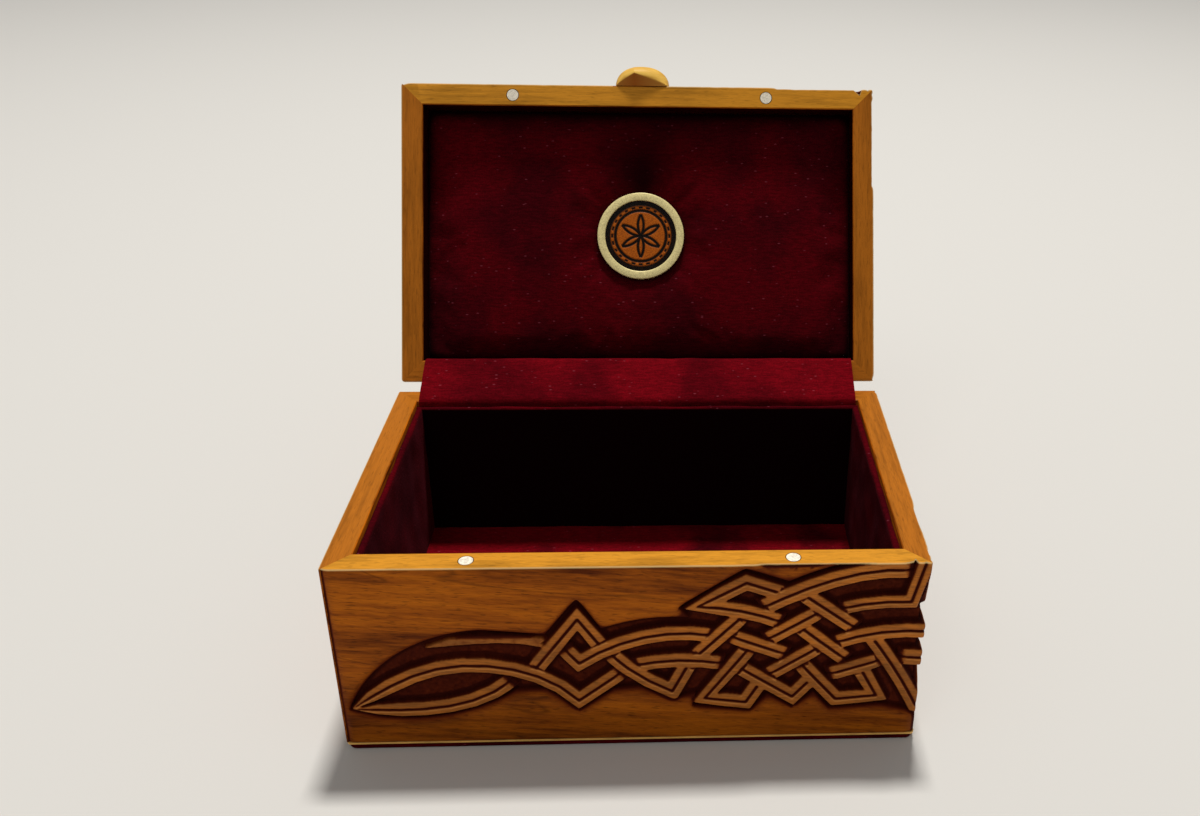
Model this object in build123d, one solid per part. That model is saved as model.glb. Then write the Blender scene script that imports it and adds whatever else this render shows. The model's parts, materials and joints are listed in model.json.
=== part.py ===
from build123d import *
import math
import os

# Carved keepsake chest, lid open. Millimetres. X to the right, Y to the back, Z up.
# The origin lies in the middle of the underside, on the surface that the chest stands on.

# Box
box_length = 210.0
box_depth = 132.0
wall_height = 77.0
wall = 9.5
corner_radius = 1.5

# Base under the walls
base_pad_height = 2.5
brass_height = 0.8
brass_width = 5.0
brass_inset = 0.2
base_inset = 1.4

# Bottom board, let into grooves
board_height = 5.0
board_rise = 6.5
groove_depth = 3.0

# Velvet linings of the box
floor_lining_height = 2.2
lining = 2.4
lining_drop = 2.2
lining_round = 1.15

# Lid
lid_edge_height = 20.0
dome_rise = 6.0
recess_depth = 12.5
rabbet = 4.5
rim_gap = 0.1
opening_angle = 116.6

# Lid lining and badge
pad_edge = 3.0
pad_edge_round = 1.5
pad_crown = 2.0
pad_slope = 18.0
pad_clearance = 0.2
badge_diameter = 39.0
badge_ring_width = 3.5
badge_ring_height = 2.4
badge_disc_height = 1.5
badge_clearance = 0.05

# Disc magnets in both front rims
magnet_diameter = 5.0
magnet_height = 3.0
magnet_place = 56.3
magnet_clearance = 0.15

# Butt hinges
hinge_length = 30.0
hinge_inset = 47.0
hinge_offset = 3.5
leaf_height = 1.2
leaf_gap = 0.2
leaf_reach = 7.6
leaf_clearance = 0.15
knuckle_diameter = 5.0
knuckle_count = 3
knuckle_gap = 0.15
pin_diameter = 1.6
pin_clearance = 0.05

# Countersunk screws of the hinges
screw_spacing = 18.0
screw_inset = 3.6
screw_head = 3.4
screw_shank = 1.8
shank_sides = 6
screw_length = 8.0
screw_clearance = 0.05

# Hinge cloth
cloth_end_gap = 1.0
cloth_height = 1.6
cloth_tab = 4.0
cloth_clearance = 0.05

# Thumb pull and its loose tenon
pull_width = 24.0
pull_reach = 10.0
pull_height = 11.0
pull_drop = 2.2
pull_shift = 1.0
pull_ridge_shift = -3.5
pull_clearance = 0.4
pull_ridge_share = 0.85
pull_facets = 16
pull_top_slope = 0.35
tenon_width = 14.0
tenon_height = 4.0
tenon_rise = 5.5
tenon_in_rail = 6.0
tenon_in_pull = 4.0
tenon_clearance = 0.05

# Carving: straps raised from a sunk ground, each with a groove along its middle
ground_depth = 2.8
strap_drop = 0.3
strap_dip = 1.7
strap_width = 7.2
strap_flank = 0.5
strap_least_top = 0.3
strap_groove_width = 1.0
strap_groove_depth = 0.8
strap_root = 0.4
strap_dip_length = 3.0
strap_tip_width = 0.8
strap_tip_length = 12.0
strap_step = 9.0
mitre_limit = 1.6
rim_hollow_depth = 1.4

# Sheet that the carving is drawn on: the length and height of the front and the lid's edge
sheet_length = 210.0
sheet_height = 77.0
sheet_lid_edge = 20.0

# How far a cutting shape runs past the surface it cuts
margin = 1.0

# Levels and places that follow from the sizes above
wood_z = base_pad_height + brass_height
joint_z = wood_z + wall_height
front_y = -box_depth / 2
rear_y = box_depth / 2
side_x = box_length / 2
inner_x = side_x - wall
inner_y = rear_y - wall
cloth_length = 2 * (inner_x - cloth_end_gap)
board_z = wood_z + board_rise
floor_z = board_z + board_height
lining_z = floor_z + floor_lining_height
lining_top_z = joint_z - lining_drop
lid_z = joint_z + rim_gap
panel_z = lid_z + recess_depth
lid_top_z = lid_z + lid_edge_height + dome_rise
axis_y = rear_y + hinge_offset
axis_z = lid_z - leaf_height - leaf_gap / 2
hinge_axis = Axis((0, axis_y, axis_z), (1, 0, 0))
rim_middle_y = front_y + wall / 2
magnet_x = magnet_place * box_length / sheet_length
hinge_x = side_x - hinge_inset


def block(x0, x1, y0, y1, z0, z1):
    """A box between two corners."""
    size = (x1 - x0, y1 - y0, z1 - z0)
    return Pos((x0 + x1) / 2, (y0 + y1) / 2, (z0 + z1) / 2) * Box(*size)


def opened(shape):
    """A piece of the lid, or a list of solids, turned from shut to its resting place."""
    if isinstance(shape, list):
        return Compound(children=[opened(solid) for solid in shape])
    return shape.rotate(hinge_axis, -opening_angle)


def opened_point(y, z):
    """A point of the lid's side view, turned the same way."""
    turn = math.radians(opening_angle)
    dy, dz = y - axis_y, z - axis_z
    return Vector(
        axis_y + dy * math.cos(turn) + dz * math.sin(turn),
        axis_z - dy * math.sin(turn) + dz * math.cos(turn),
    )


# Mitred frames

def mitred_plan(side):
    """Plan of one board of the frame, from its outer to its inner corners."""
    outer = [(-side_x, front_y), (side_x, front_y), (side_x, rear_y), (-side_x, rear_y)]
    inner = [(-inner_x, -inner_y), (inner_x, -inner_y), (inner_x, inner_y), (-inner_x, inner_y)]
    first = ["front", "right", "rear", "left"].index(side)
    last = (first + 1) % 4
    corners = Polygon(outer[first], outer[last], inner[last], inner[first], align=None)
    return corners & RectangleRounded(box_length, box_depth, corner_radius)


def mitred_board(side, z0, z1):
    """One board of the frame between two heights."""
    return Pos(0, 0, z0) * extrude(mitred_plan(side), amount=z1 - z0)


# Interlace

def face_point(x, z, height):
    """A point on the front, where height is measured outwards from the face."""
    return Vector(x, front_y - height, wood_z + z)


def on_front(point):
    """A point of the drawing, spread over the front's real length and height."""
    x, z = point
    if z > sheet_height:
        z = wall_height + (z - sheet_height) * lid_edge_height / sheet_lid_edge
    else:
        z *= wall_height / sheet_height
    return x * box_length / sheet_length, z


def drawn_line(*points, close=False):
    return Polyline(*[on_front(point) for point in points], close=close)


def drawn_arc(*points):
    return ThreePointArc(*[on_front(point) for point in points])


def stations(runs):
    """Points along a strap and its turns: straight runs have two, curved ones are evenly divided."""
    runs = [[on_front(point) for point in run] for run in runs]
    found = [Vector(*runs[0][0])]
    turns = []
    for run in runs:
        between_turns = run is not runs[0] and run is not runs[-1]
        if len(run) == 2:
            if between_turns:
                found.append((Vector(*run[0]) + Vector(*run[1])) / 2)
            found.append(Vector(*run[1]))
        else:
            curve = Spline(*run)
            count = max(3, round(curve.length / strap_step))
            found += [curve @ (i / count) for i in range(1, count + 1)]
        turns.append(found[-1])
    return found, turns[:-1]


def with_dips(points, start, end):
    """Adds the level of each point; an end that passes under a neighbour dips."""
    levels = [-strap_drop] * len(points)
    if start == "under":
        levels[0] = -strap_dip
        points.insert(1, points[0] + (points[1] - points[0]).normalized() * strap_dip_length)
        levels.insert(1, -strap_drop)
    if end == "under":
        levels[-1] = -strap_dip
        points.insert(-1, points[-1] + (points[-2] - points[-1]).normalized() * strap_dip_length)
        levels.insert(-1, -strap_drop)
    return points, levels


def strap_section(point, across, half_width, level):
    """Cross-section of a strap: flanks, flat top and the groove along its middle."""
    top = max(half_width - strap_flank, strap_least_top)
    groove = min(strap_groove_width / 2, top / 2)
    root = -ground_depth - strap_root
    groove_level = max(level - strap_groove_depth, -ground_depth)
    profile = [
        (-half_width, root),
        (-half_width, -ground_depth),
        (-top, level),
        (-groove, level),
        (0, groove_level),
        (groove, level),
        (top, level),
        (half_width, -ground_depth),
        (half_width, root),
    ]
    corners = [face_point(point.X + across.X * s, point.Y + across.Y * s, h) for s, h in profile]
    return Face(Wire.make_polygon(corners, close=True))


def strap(runs, start="under", end="under", width=strap_width, drop=0.0):
    """One visible stretch of a strap, as one solid for each run between its mitred turns."""
    points, turns = stations(runs)
    points, levels = with_dips(points, start, end)
    lengths = [(b - a).length for a, b in zip(points, points[1:])]
    total = sum(lengths)
    sections = []
    solids = []
    for i, point in enumerate(points):
        before = (point - points[i - 1]).normalized() if i else None
        after = (points[i + 1] - point).normalized() if i + 1 < len(points) else None
        before, after = before or after, after or before
        bisector = (before + after).normalized()
        stretch = min(1 / max(bisector.dot(after), 0.1), mitre_limit)
        across = Vector(-bisector.Y, bisector.X)
        half = width / 2
        for kind, run in ((start, sum(lengths[:i])), (end, total - sum(lengths[:i]))):
            if kind == "tip":
                share = min(run / strap_tip_length, 1.0)
                half = strap_tip_width / 2 + (half - strap_tip_width / 2) * share
        sections.append(strap_section(point, across * stretch, half, levels[i] - drop))
        if point in turns or i + 1 == len(points):
            solids.append(loft(sections, ruled=True))
            sections = sections[-1:]
    return solids


# Straps of the left half: the leaf and the three points beside it
leaf_tip = (-101.0, 15.6)
point_foot = (-19.6, 17.9)
left_straps = [
    strap([[(-73.0, 42.5), (-56.0, 45.7), (-45.0, 46.0), (-30.0, 43.5)]], "tip", "under", 4.6, 0.8),
    strap([[leaf_tip, (-88.9, 24.3), (-70.3, 33.2), (-50.3, 34.3), (-32.4, 28.6), point_foot],
           [point_foot, (-3.5, 31.0)]], "tip"),
    strap([[leaf_tip, (-84.0, 14.9), (-66.0, 16.4), (-43.0, 28.0)]], "tip"),
    strap([[(-35.5, 31.5), (-19.0, 54.5)], [(-19.0, 54.5), (-10.5, 41.5)]]),
    strap([[(-24.5, 42.0), (-19.0, 35.0)], [(-19.0, 35.0), (-3.1, 43.9), (10.0, 47.3), (29.0, 46.5)]]),
    strap([[(-8.5, 39.5), (1.1, 30.0), (14.2, 21.5)], [(14.2, 21.5), (20.5, 35.0)]]),
]

# Straps that only the front has in the middle
middle_straps = [
    strap([[(0.0, 33.5), (14.0, 35.6), (33.0, 33.8)]]),
    strap([[(22.0, 36.5), (39.5, 55.5)]]),
]

# Straps of the knot, which runs on round the corner
knot_straps = [
    strap([[(53.5, 51.8), (38.0, 57.3), (23.0, 59.3)], [(23.0, 59.3), (40.0, 69.3)],
           [(40.0, 69.3), (54.0, 64.0)]]),
    strap([[(45.0, 58.0), (56.7, 64.3), (76.7, 72.0), (98.5, 73.8)]], width=7.8),
    strap([[(73.0, 57.5), (86.7, 60.1), (98.6, 60.3)], [(98.6, 60.3), (102.9, 79.0)]], "under", "over", 6.4),
    strap([[(59.5, 64.5), (80.0, 48.5)]]),
    strap([[(47.0, 43.8), (67.0, 56.8)]]),
    strap([[(34.0, 46.5), (56.0, 37.2)]]),
    strap([[(59.0, 50.3), (77.5, 34.2)]]),
    strap([[(48.0, 27.8), (67.5, 41.2)]]),
    strap([[(71.5, 42.3), (83.3, 46.0), (107.0, 47.0)]], "under", "over"),
    strap([[(95.5, 35.8), (107.0, 35.0)]], "under", "over", 8.0),
    strap([[(84.5, 46.5), (94.7, 30.7), (106.0, 9.0)]], "under", "over", 7.0),
    strap([[(70.0, 27.8), (90.5, 34.8)]]),
    strap([[(60.0, 33.8), (74.0, 16.6)], [(74.0, 16.6), (89.0, 18.0)], [(89.0, 18.0), (82.0, 31.5)]]),
    strap([[(42.0, 41.2), (26.0, 18.0)], [(26.0, 18.0), (41.0, 15.8)], [(41.0, 15.8), (46.5, 26.0)]]),
    strap([[(37.5, 32.5), (58.0, 18.0)], [(58.0, 18.0), (65.5, 27.5)]]),
]

# Straps of the lid, above the joint
lid_straps = [
    strap([[(98.0, 90.5), (103.2, 75.0)]], "over", "over", 6.4),
    strap([[(58.0, 81.5), (70.0, 87.5), (84.0, 90.5), (101.0, 90.3)]], "tip", "over", 6.4),
    strap([[(64.0, 92.5), (80.0, 86.0), (101.0, 82.0)]], "tip", "under", 5.6),
]


def sunk(outline, depth):
    """The space over the sunk ground inside an outline drawn on the front."""
    plane = Plane(origin=(0, front_y + depth, wood_z), x_dir=(1, 0, 0), z_dir=(0, -1, 0))
    return extrude(plane * make_face(outline), amount=depth + margin)


def leaf_outline():
    """Edge of the ground round the leaf and the three points beside it."""
    tip = (-101.7, 15.3)
    return [
        drawn_arc(tip, (-82.0, 40.2), (-52.4, 49.8)),
        drawn_line((-52.4, 49.8), (-30.5, 47.5), (-19.0, 63.0), (-11.0, 49.5)),
        drawn_arc((-11.0, 49.5), (5.0, 53.8), (24.0, 53.6)),
        drawn_line((24.0, 53.6), (24.0, 20.5), (14.7, 17.6), (2.5, 23.5), (-7.0, 22.5), (-19.6, 13.2)),
        drawn_line((-19.6, 13.2), (-31.0, 23.0), (-42.0, 22.8)),
        drawn_arc((-42.0, 22.8), (-66.0, 12.3), (-92.0, 11.8)),
        drawn_line((-92.0, 11.8), tip),
    ]


def knot_outline():
    """Edge of the ground round the knot; it runs out over the corner and the rim."""
    return [
        drawn_line((16.5, 58.8), (39.5, 74.8), (55.0, 69.0)),
        drawn_arc((55.0, 69.0), (70.0, 75.3), (88.0, 79.0)),
        drawn_line((88.0, 79.0), (108.0, 79.0), (108.0, 8.5), (91.0, 13.3), (72.0, 11.8), (66.0, 19.5)),
        drawn_line((66.0, 19.5), (58.0, 13.0), (49.0, 19.0), (42.5, 11.6), (21.5, 14.0), (23.0, 20.5)),
        drawn_line((23.0, 20.5), (22.0, 52.0), (16.5, 58.8)),
    ]


def rim_hollow_outline():
    """Shallow hollow between the knot's peak and the rim."""
    return [drawn_line((43.0, 78.5), (48.0, 71.3), (55.0, 69.5), (70.0, 75.6), (64.0, 78.5), close=True)]


def lid_outline():
    """Edge of the ground on the front rail of the lid."""
    return [
        drawn_line((63.5, 76.0), (60.8, 81.0), (62.0, 94.5)),
        drawn_arc((62.0, 94.5), (84.0, 95.3), (108.0, 95.0)),
        drawn_line((108.0, 95.0), (108.0, 76.0), (63.5, 76.0)),
    ]


corner_mirror = Plane(origin=(side_x, front_y, 0), z_dir=(1, 1, 0))


def mirrored(straps):
    """The same straps round the corner."""
    return [[solid.mirror(corner_mirror) for solid in solids] for solids in straps]


def carved(board, grounds, straps):
    """A board with its sunk ground and the straps that stand on it."""
    cut = board
    for ground in grounds:
        cut -= ground
    for solids in straps:
        for solid in solids:
            cut += solid & board
    return cut


# Box walls

def magnet_holes(z0, z1):
    """Holes for the two magnets of a rim, between two heights."""
    hole = Cylinder(magnet_diameter / 2 + magnet_clearance, z1 - z0)
    return [Pos(s * magnet_x, rim_middle_y, (z0 + z1) / 2) * hole for s in (-1, 1)]


def board_groove():
    """The groove for the bottom board, cut into all four walls."""
    return block(-inner_x - groove_depth, inner_x + groove_depth, -inner_y - groove_depth,
                 inner_y + groove_depth, board_z, floor_z)


def hinge_recess(x):
    """Room for both leaves of a hinge in the top of the rear wall."""
    half = hinge_length / 2 + leaf_clearance
    return block(x - half, x + half, rear_y - leaf_reach - leaf_clearance, rear_y + margin,
                 axis_z - leaf_gap / 2 - leaf_height, joint_z + margin)


def pilot_holes(x, z0, z1):
    """Holes in the wood for the two screws of a leaf."""
    hole = Cylinder(screw_shank / 2 + screw_clearance, z1 - z0)
    y = rear_y - screw_inset
    return [Pos(x + s * screw_spacing / 2, y, (z0 + z1) / 2) * hole for s in (-1, 1)]


hinge_places = {"left": -hinge_x, "right": hinge_x}


def make_front_wall():
    board = mitred_board("front", wood_z, joint_z)
    grounds = [
        sunk(leaf_outline(), ground_depth),
        sunk(knot_outline(), ground_depth),
        sunk(rim_hollow_outline(), rim_hollow_depth),
    ]
    wall_piece = carved(board, grounds, left_straps + middle_straps + knot_straps)
    wall_piece -= board_groove()
    for hole in magnet_holes(joint_z - magnet_height, joint_z + margin):
        wall_piece -= hole
    return wall_piece


def make_right_wall():
    board = mitred_board("right", wood_z, joint_z)
    ground = sunk(knot_outline(), ground_depth).mirror(corner_mirror)
    straps = mirrored(knot_straps)
    return carved(board, [ground], straps) - board_groove()


def make_rear_wall():
    wall_piece = mitred_board("rear", wood_z, joint_z) - board_groove()
    leaf_bottom = axis_z - leaf_gap / 2 - leaf_height
    for x in hinge_places.values():
        wall_piece -= hinge_recess(x)
        for hole in pilot_holes(x, leaf_bottom - screw_length, leaf_bottom + margin):
            wall_piece -= hole
    return wall_piece


def make_left_wall():
    return mitred_board("left", wood_z, joint_z) - board_groove()


# Base, bottom board and linings of the box

def make_bottom_board():
    return block(-inner_x - groove_depth, inner_x + groove_depth, -inner_y - groove_depth,
                 inner_y + groove_depth, board_z, floor_z)


def make_brass_strip():
    length = box_length - 2 * brass_inset
    depth = box_depth - 2 * brass_inset
    ring = RectangleRounded(length, depth, corner_radius)
    ring -= Rectangle(length - 2 * brass_width, depth - 2 * brass_width)
    return Pos(0, 0, base_pad_height) * extrude(ring, amount=brass_height)


def make_base_pad():
    plan = RectangleRounded(box_length - 2 * base_inset, box_depth - 2 * base_inset, corner_radius)
    return extrude(plan, amount=base_pad_height)


def make_floor_lining():
    return block(-inner_x, inner_x, -inner_y, inner_y, floor_z, lining_z)


def lining_board(x0, x1, y0, y1):
    """A wall lining, rounded along its top."""
    board = block(x0, x1, y0, y1, lining_z, lining_top_z)
    along = Axis.X if x1 - x0 > y1 - y0 else Axis.Y
    top_edges = board.edges().filter_by(along).sort_by(Axis.Z)[-2:]
    return fillet(top_edges, lining_round)


def make_linings():
    side_y = inner_y - lining
    return {
        "front_lining": lining_board(-inner_x, inner_x, -inner_y, -side_y),
        "rear_lining": lining_board(-inner_x, inner_x, side_y, inner_y),
        "left_lining": lining_board(-inner_x, -inner_x + lining, -side_y, side_y),
        "right_lining": lining_board(inner_x - lining, inner_x, -side_y, side_y),
    }


# Magnets

def make_magnets(z0, z1):
    disc = Cylinder(magnet_diameter / 2, z1 - z0)
    return [Pos(s * magnet_x, rim_middle_y, (z0 + z1) / 2) * disc for s in (-1, 1)]


# Hinges, made shut

def knuckle_spans():
    """Where each knuckle of a hinge starts and ends along its pin."""
    step = hinge_length / knuckle_count
    starts = [-hinge_length / 2 + i * step for i in range(knuckle_count)]
    return [(a + knuckle_gap / 2, a + step - knuckle_gap / 2) for a in starts]


def countersink(x, z, up):
    """A screw's seat in a leaf whose outer face lies at z; the shank runs up or down."""
    wide = screw_head / 2 + screw_clearance
    narrow = screw_shank / 2 + screw_clearance
    cone = Cone(wide, narrow, leaf_height) if up else Cone(narrow, wide, leaf_height)
    sign = 1 if up else -1
    return Pos(x, rear_y - screw_inset, z + sign * leaf_height / 2) * cone


def make_leaf(x, z0, own, facing, up):
    """A leaf with its knuckles; own says whether it holds the odd or the even ones."""
    clear = knuckle_diameter / 2 + leaf_clearance
    half = hinge_length / 2
    leaf = block(x - half, x + half, rear_y - leaf_reach, axis_y - clear, z0, z0 + leaf_height)
    for i, (a, b) in enumerate(knuckle_spans()):
        if i % 2 != own:
            continue
        tongue = block(x + a, x + b, rear_y - leaf_reach, axis_y, z0, z0 + leaf_height)
        barrel = Pos(x + (a + b) / 2, axis_y, axis_z) * Rot(0, 90, 0) * Cylinder(knuckle_diameter / 2, b - a)
        leaf = leaf + tongue + barrel
    bore = Cylinder(pin_diameter / 2 + pin_clearance, hinge_length * 2)
    leaf -= Pos(x, axis_y, axis_z) * Rot(0, 90, 0) * bore
    for s in (-1, 1):
        leaf -= countersink(x + s * screw_spacing / 2, facing, up)
    return leaf


def make_box_leaf(x):
    z0 = axis_z - leaf_gap / 2 - leaf_height
    return make_leaf(x, z0, 0, z0 + leaf_height, False)


def make_lid_leaf(x):
    z0 = lid_z - leaf_height
    return make_leaf(x, z0, 1, z0, True)


def make_pin(x):
    return Pos(x, axis_y, axis_z) * Rot(0, 90, 0) * Cylinder(pin_diameter / 2, hinge_length)


def make_screw(x, z, up):
    """A countersunk screw whose head is as high as the leaf and flush with its face at z."""
    head = Cone(screw_shank / 2, screw_head / 2, leaf_height, align=(Align.CENTER, Align.CENTER, Align.MAX))
    shank = extrude(RegularPolygon(screw_shank / 2, shank_sides), amount=-screw_length - leaf_height)
    screw = head + shank
    if up:
        screw = Rot(180, 0, 0) * screw
    return Pos(x, rear_y - screw_inset, z) * screw


def make_screws(z, up):
    return [
        make_screw(x + s * screw_spacing / 2, z, up)
        for x in hinge_places.values()
        for s in (-1, 1)
    ]


# Hinge cloth: it climbs the rear wall, crosses to the lid's rear rail and turns into the recess

def make_hinge_cloth():
    rail_corner = opened_point(inner_y, lid_z)
    rail_depth = opened_point(inner_y, lid_z + cloth_tab)
    route = [Vector(inner_y, lining_top_z), Vector(inner_y, joint_z), rail_corner, rail_depth]
    legs = [(b - a).normalized() for a, b in zip(route, route[1:])]
    normals = [Vector(-leg.Y, leg.X) for leg in legs]

    def beside(distance):
        side = []
        for i, point in enumerate(route):
            one = normals[max(i - 1, 0)]
            two = normals[min(i, len(normals) - 1)]
            bisector = (one + two).normalized()
            side.append(point + bisector * (distance / bisector.dot(one)))
        return side

    under = beside(cloth_clearance)
    over = beside(cloth_clearance + cloth_height)
    outline = Polygon(*[(p.X, p.Y) for p in under + over[::-1]], align=None)
    plane = Plane(origin=(-cloth_length / 2, 0, 0), x_dir=(0, 1, 0), z_dir=(1, 0, 0))
    return extrude(plane * outline, amount=cloth_length)


# Lid, made shut

def barrel():
    """The space under the dome, an arc from the front edge to the rear edge."""
    half = box_depth / 2
    radius = (half ** 2 + dome_rise ** 2) / (2 * dome_rise)
    tube = Rot(0, 90, 0) * Cylinder(radius, box_length + 2 * margin)
    return Pos(0, 0, lid_top_z - radius) * tube


def panel_room():
    return block(-inner_x - rabbet, inner_x + rabbet, -inner_y - rabbet, inner_y + rabbet,
                 panel_z, lid_top_z)


def lid_rail(side):
    return (mitred_board(side, lid_z, lid_top_z) & barrel()) - panel_room()


def make_lid_front_rail():
    rail = carved(lid_rail("front"), [sunk(lid_outline(), ground_depth)], lid_straps)
    for hole in magnet_holes(lid_z - margin, lid_z + magnet_height):
        rail -= hole
    return rail - tenon(tenon_clearance)


def make_lid_right_rail():
    ground = sunk(lid_outline(), ground_depth).mirror(corner_mirror)
    straps = mirrored(lid_straps)
    return carved(lid_rail("right"), [ground], straps)


def make_lid_rear_rail():
    rail = lid_rail("rear")
    for x in hinge_places.values():
        for hole in pilot_holes(x, lid_z - margin, lid_z + screw_length):
            rail -= hole
    return rail


def make_lid_panel():
    return panel_room() & barrel()


def make_lid_pad():
    length = 2 * (inner_x - pad_clearance)
    depth = 2 * (inner_y - pad_clearance)
    edge = extrude(Rectangle(length, depth), amount=-pad_edge)
    edge = chamfer(edge.faces().sort_by(Axis.Z)[0].edges(), pad_edge_round)
    crown = loft([
        Pos(0, 0, -pad_edge) * Rectangle(length - pad_edge, depth - pad_edge),
        Pos(0, 0, -pad_edge - pad_crown) * Rectangle(length - 2 * pad_slope, depth - 2 * pad_slope),
    ])
    seat = Pos(0, 0, -pad_edge) * Cylinder(
        badge_diameter / 2 + badge_clearance, pad_edge * 2, align=(Align.CENTER, Align.CENTER, Align.MAX)
    )
    return Pos(0, 0, panel_z) * (edge + crown - seat)


def badge_seat():
    return Pos(0, 0, panel_z - pad_edge)


def make_badge_ring():
    hang = (Align.CENTER, Align.CENTER, Align.MAX)
    ring = Cylinder(badge_diameter / 2, badge_ring_height, align=hang)
    ring -= Cylinder(badge_diameter / 2 - badge_ring_width, badge_ring_height * 3)
    return badge_seat() * ring


def make_badge_disc():
    hang = (Align.CENTER, Align.CENTER, Align.MAX)
    radius = badge_diameter / 2 - badge_ring_width - badge_clearance
    return badge_seat() * Cylinder(radius, badge_disc_height, align=hang)


# Thumb pull, made on the shut lid's front

def tenon(clearance):
    """The loose tenon, or with a clearance its mortises, from inside the pull to inside the rail."""
    half = tenon_width / 2 + clearance
    middle = lid_z + tenon_rise
    rise = tenon_height / 2 + clearance
    return block(pull_shift - half, pull_shift + half, front_y - tenon_in_pull - clearance,
                 front_y + tenon_in_rail + clearance, middle - rise, middle + rise)


def make_pull():
    half = pull_width / 2
    turns = [math.pi * i / pull_facets for i in range(pull_facets + 1)]
    outline = Polyline(*[(half * math.cos(a), -pull_reach * math.sin(a)) for a in turns], close=True)
    body = Pos(0, 0, -pull_drop) * extrude(make_face(outline), amount=pull_height + pull_drop)
    ridge_foot = Vector(pull_ridge_shift, 0, -pull_drop)
    ridge_tip = Vector(pull_ridge_shift, -pull_reach * pull_ridge_share, pull_drop)
    for s in (-1, 1):
        end = Vector(s * half, 0, pull_drop / 2)
        normal = (ridge_tip - ridge_foot).cross(end - ridge_foot).normalized()
        normal = normal if normal.Z > 0 else normal * -1
        body = split(body, bisect_by=Plane(origin=ridge_foot, z_dir=normal), keep=Keep.TOP)
    top = Plane(origin=(0, 0, pull_height), z_dir=(0, -pull_top_slope, 1))
    body = split(body, bisect_by=top, keep=Keep.BOTTOM)
    body -= block(-half - margin, half + margin, -pull_clearance, margin, -pull_drop - margin, 0.0)
    body = Pos(pull_shift, front_y, lid_z) * body
    return body - tenon(tenon_clearance)


# All pieces by name

def pieces():
    found = {
        "front_wall": make_front_wall(),
        "rear_wall": make_rear_wall(),
        "left_wall": make_left_wall(),
        "right_wall": make_right_wall(),
        "bottom_board": make_bottom_board(),
        "brass_base_strip": make_brass_strip(),
        "base_pad": make_base_pad(),
        "floor_lining": make_floor_lining(),
        "hinge_cloth": make_hinge_cloth(),
    }
    found.update(make_linings())
    left, right = make_magnets(joint_z - magnet_height, joint_z)
    found["box_magnet_left"], found["box_magnet_right"] = left, right
    box_leaf_face = axis_z - leaf_gap / 2
    found["box_hinge_screws"] = Compound(children=make_screws(box_leaf_face, False))
    lid = {
        "lid_front_rail": make_lid_front_rail(),
        "lid_rear_rail": make_lid_rear_rail(),
        "lid_left_rail": lid_rail("left"),
        "lid_right_rail": make_lid_right_rail(),
        "lid_top_panel": make_lid_panel(),
        "lid_lining": make_lid_pad(),
        "badge_ring": make_badge_ring(),
        "badge_disc": make_badge_disc(),
        "thumb_pull": make_pull(),
        "pull_tenon": tenon(0),
        "lid_hinge_screws": make_screws(lid_z - leaf_height, True),
    }
    left, right = make_magnets(lid_z, lid_z + magnet_height)
    lid["lid_magnet_left"], lid["lid_magnet_right"] = left, right
    for side, x in hinge_places.items():
        found["box_hinge_leaf_" + side] = make_box_leaf(x)
        found["hinge_pin_" + side] = make_pin(x)
        lid["lid_hinge_leaf_" + side] = make_lid_leaf(x)
    for name, piece in lid.items():
        found[name] = opened(piece)
    return found


os.makedirs("parts", exist_ok=True)
for name, piece in pieces().items():
    export_step(piece, f"parts/{name}.step")
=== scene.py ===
"""Carved keepsake chest, lid open: the finish of every surface, laid out as an add-on."""

import bmesh
import bpy
import json
import math
import numpy as np
from collections import namedtuple
from mathutils import Matrix, Vector, noise
from mathutils.bvhtree import BVHTree


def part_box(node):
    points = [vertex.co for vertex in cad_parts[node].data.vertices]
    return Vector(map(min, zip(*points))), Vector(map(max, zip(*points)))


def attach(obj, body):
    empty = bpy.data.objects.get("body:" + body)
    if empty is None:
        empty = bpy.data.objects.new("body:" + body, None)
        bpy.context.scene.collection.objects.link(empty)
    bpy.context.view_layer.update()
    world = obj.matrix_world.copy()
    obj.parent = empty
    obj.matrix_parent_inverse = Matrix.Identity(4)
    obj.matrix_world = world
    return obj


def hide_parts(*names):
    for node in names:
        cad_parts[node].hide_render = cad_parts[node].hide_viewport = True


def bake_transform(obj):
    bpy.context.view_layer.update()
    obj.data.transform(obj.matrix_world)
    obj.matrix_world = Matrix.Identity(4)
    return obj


bl_info = {
    "name": "Carved Keepsake Chest",
    "version": (1, 0, 0),
    "blender": (4, 5, 0),
    "location": "View3D > Sidebar > Chest",
    "description": "Dresses the chest's frame with carved wood, velvet, brass and boxwood",
    "category": "Object",
}

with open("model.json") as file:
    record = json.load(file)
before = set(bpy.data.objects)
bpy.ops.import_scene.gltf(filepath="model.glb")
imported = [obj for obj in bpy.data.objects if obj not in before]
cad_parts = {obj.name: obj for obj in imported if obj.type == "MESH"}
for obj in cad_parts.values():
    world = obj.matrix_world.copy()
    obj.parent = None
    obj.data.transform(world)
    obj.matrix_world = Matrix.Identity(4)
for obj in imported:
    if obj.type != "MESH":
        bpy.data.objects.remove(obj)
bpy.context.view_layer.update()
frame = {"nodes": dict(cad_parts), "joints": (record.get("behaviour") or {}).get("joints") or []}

# Places read from the frame, in metres. Two places closer than NEAR are taken as one
MM = 0.001
NEAR = 0.1 * MM
side_low, side_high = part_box("left_wall")
rear_low, rear_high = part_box("rear_wall")
board_low, board_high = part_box("bottom_board")
side_x, rear_y = -side_low.x, rear_high.y
front_y = -rear_y
wall = rear_high.y - rear_low.y
inner_x, inner_y = side_x - wall, rear_y - wall
base_z, joint_z = side_low.z, side_high.z
groove_depth = board_high.y - inner_y
lid_joint = frame["joints"][0]
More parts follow.
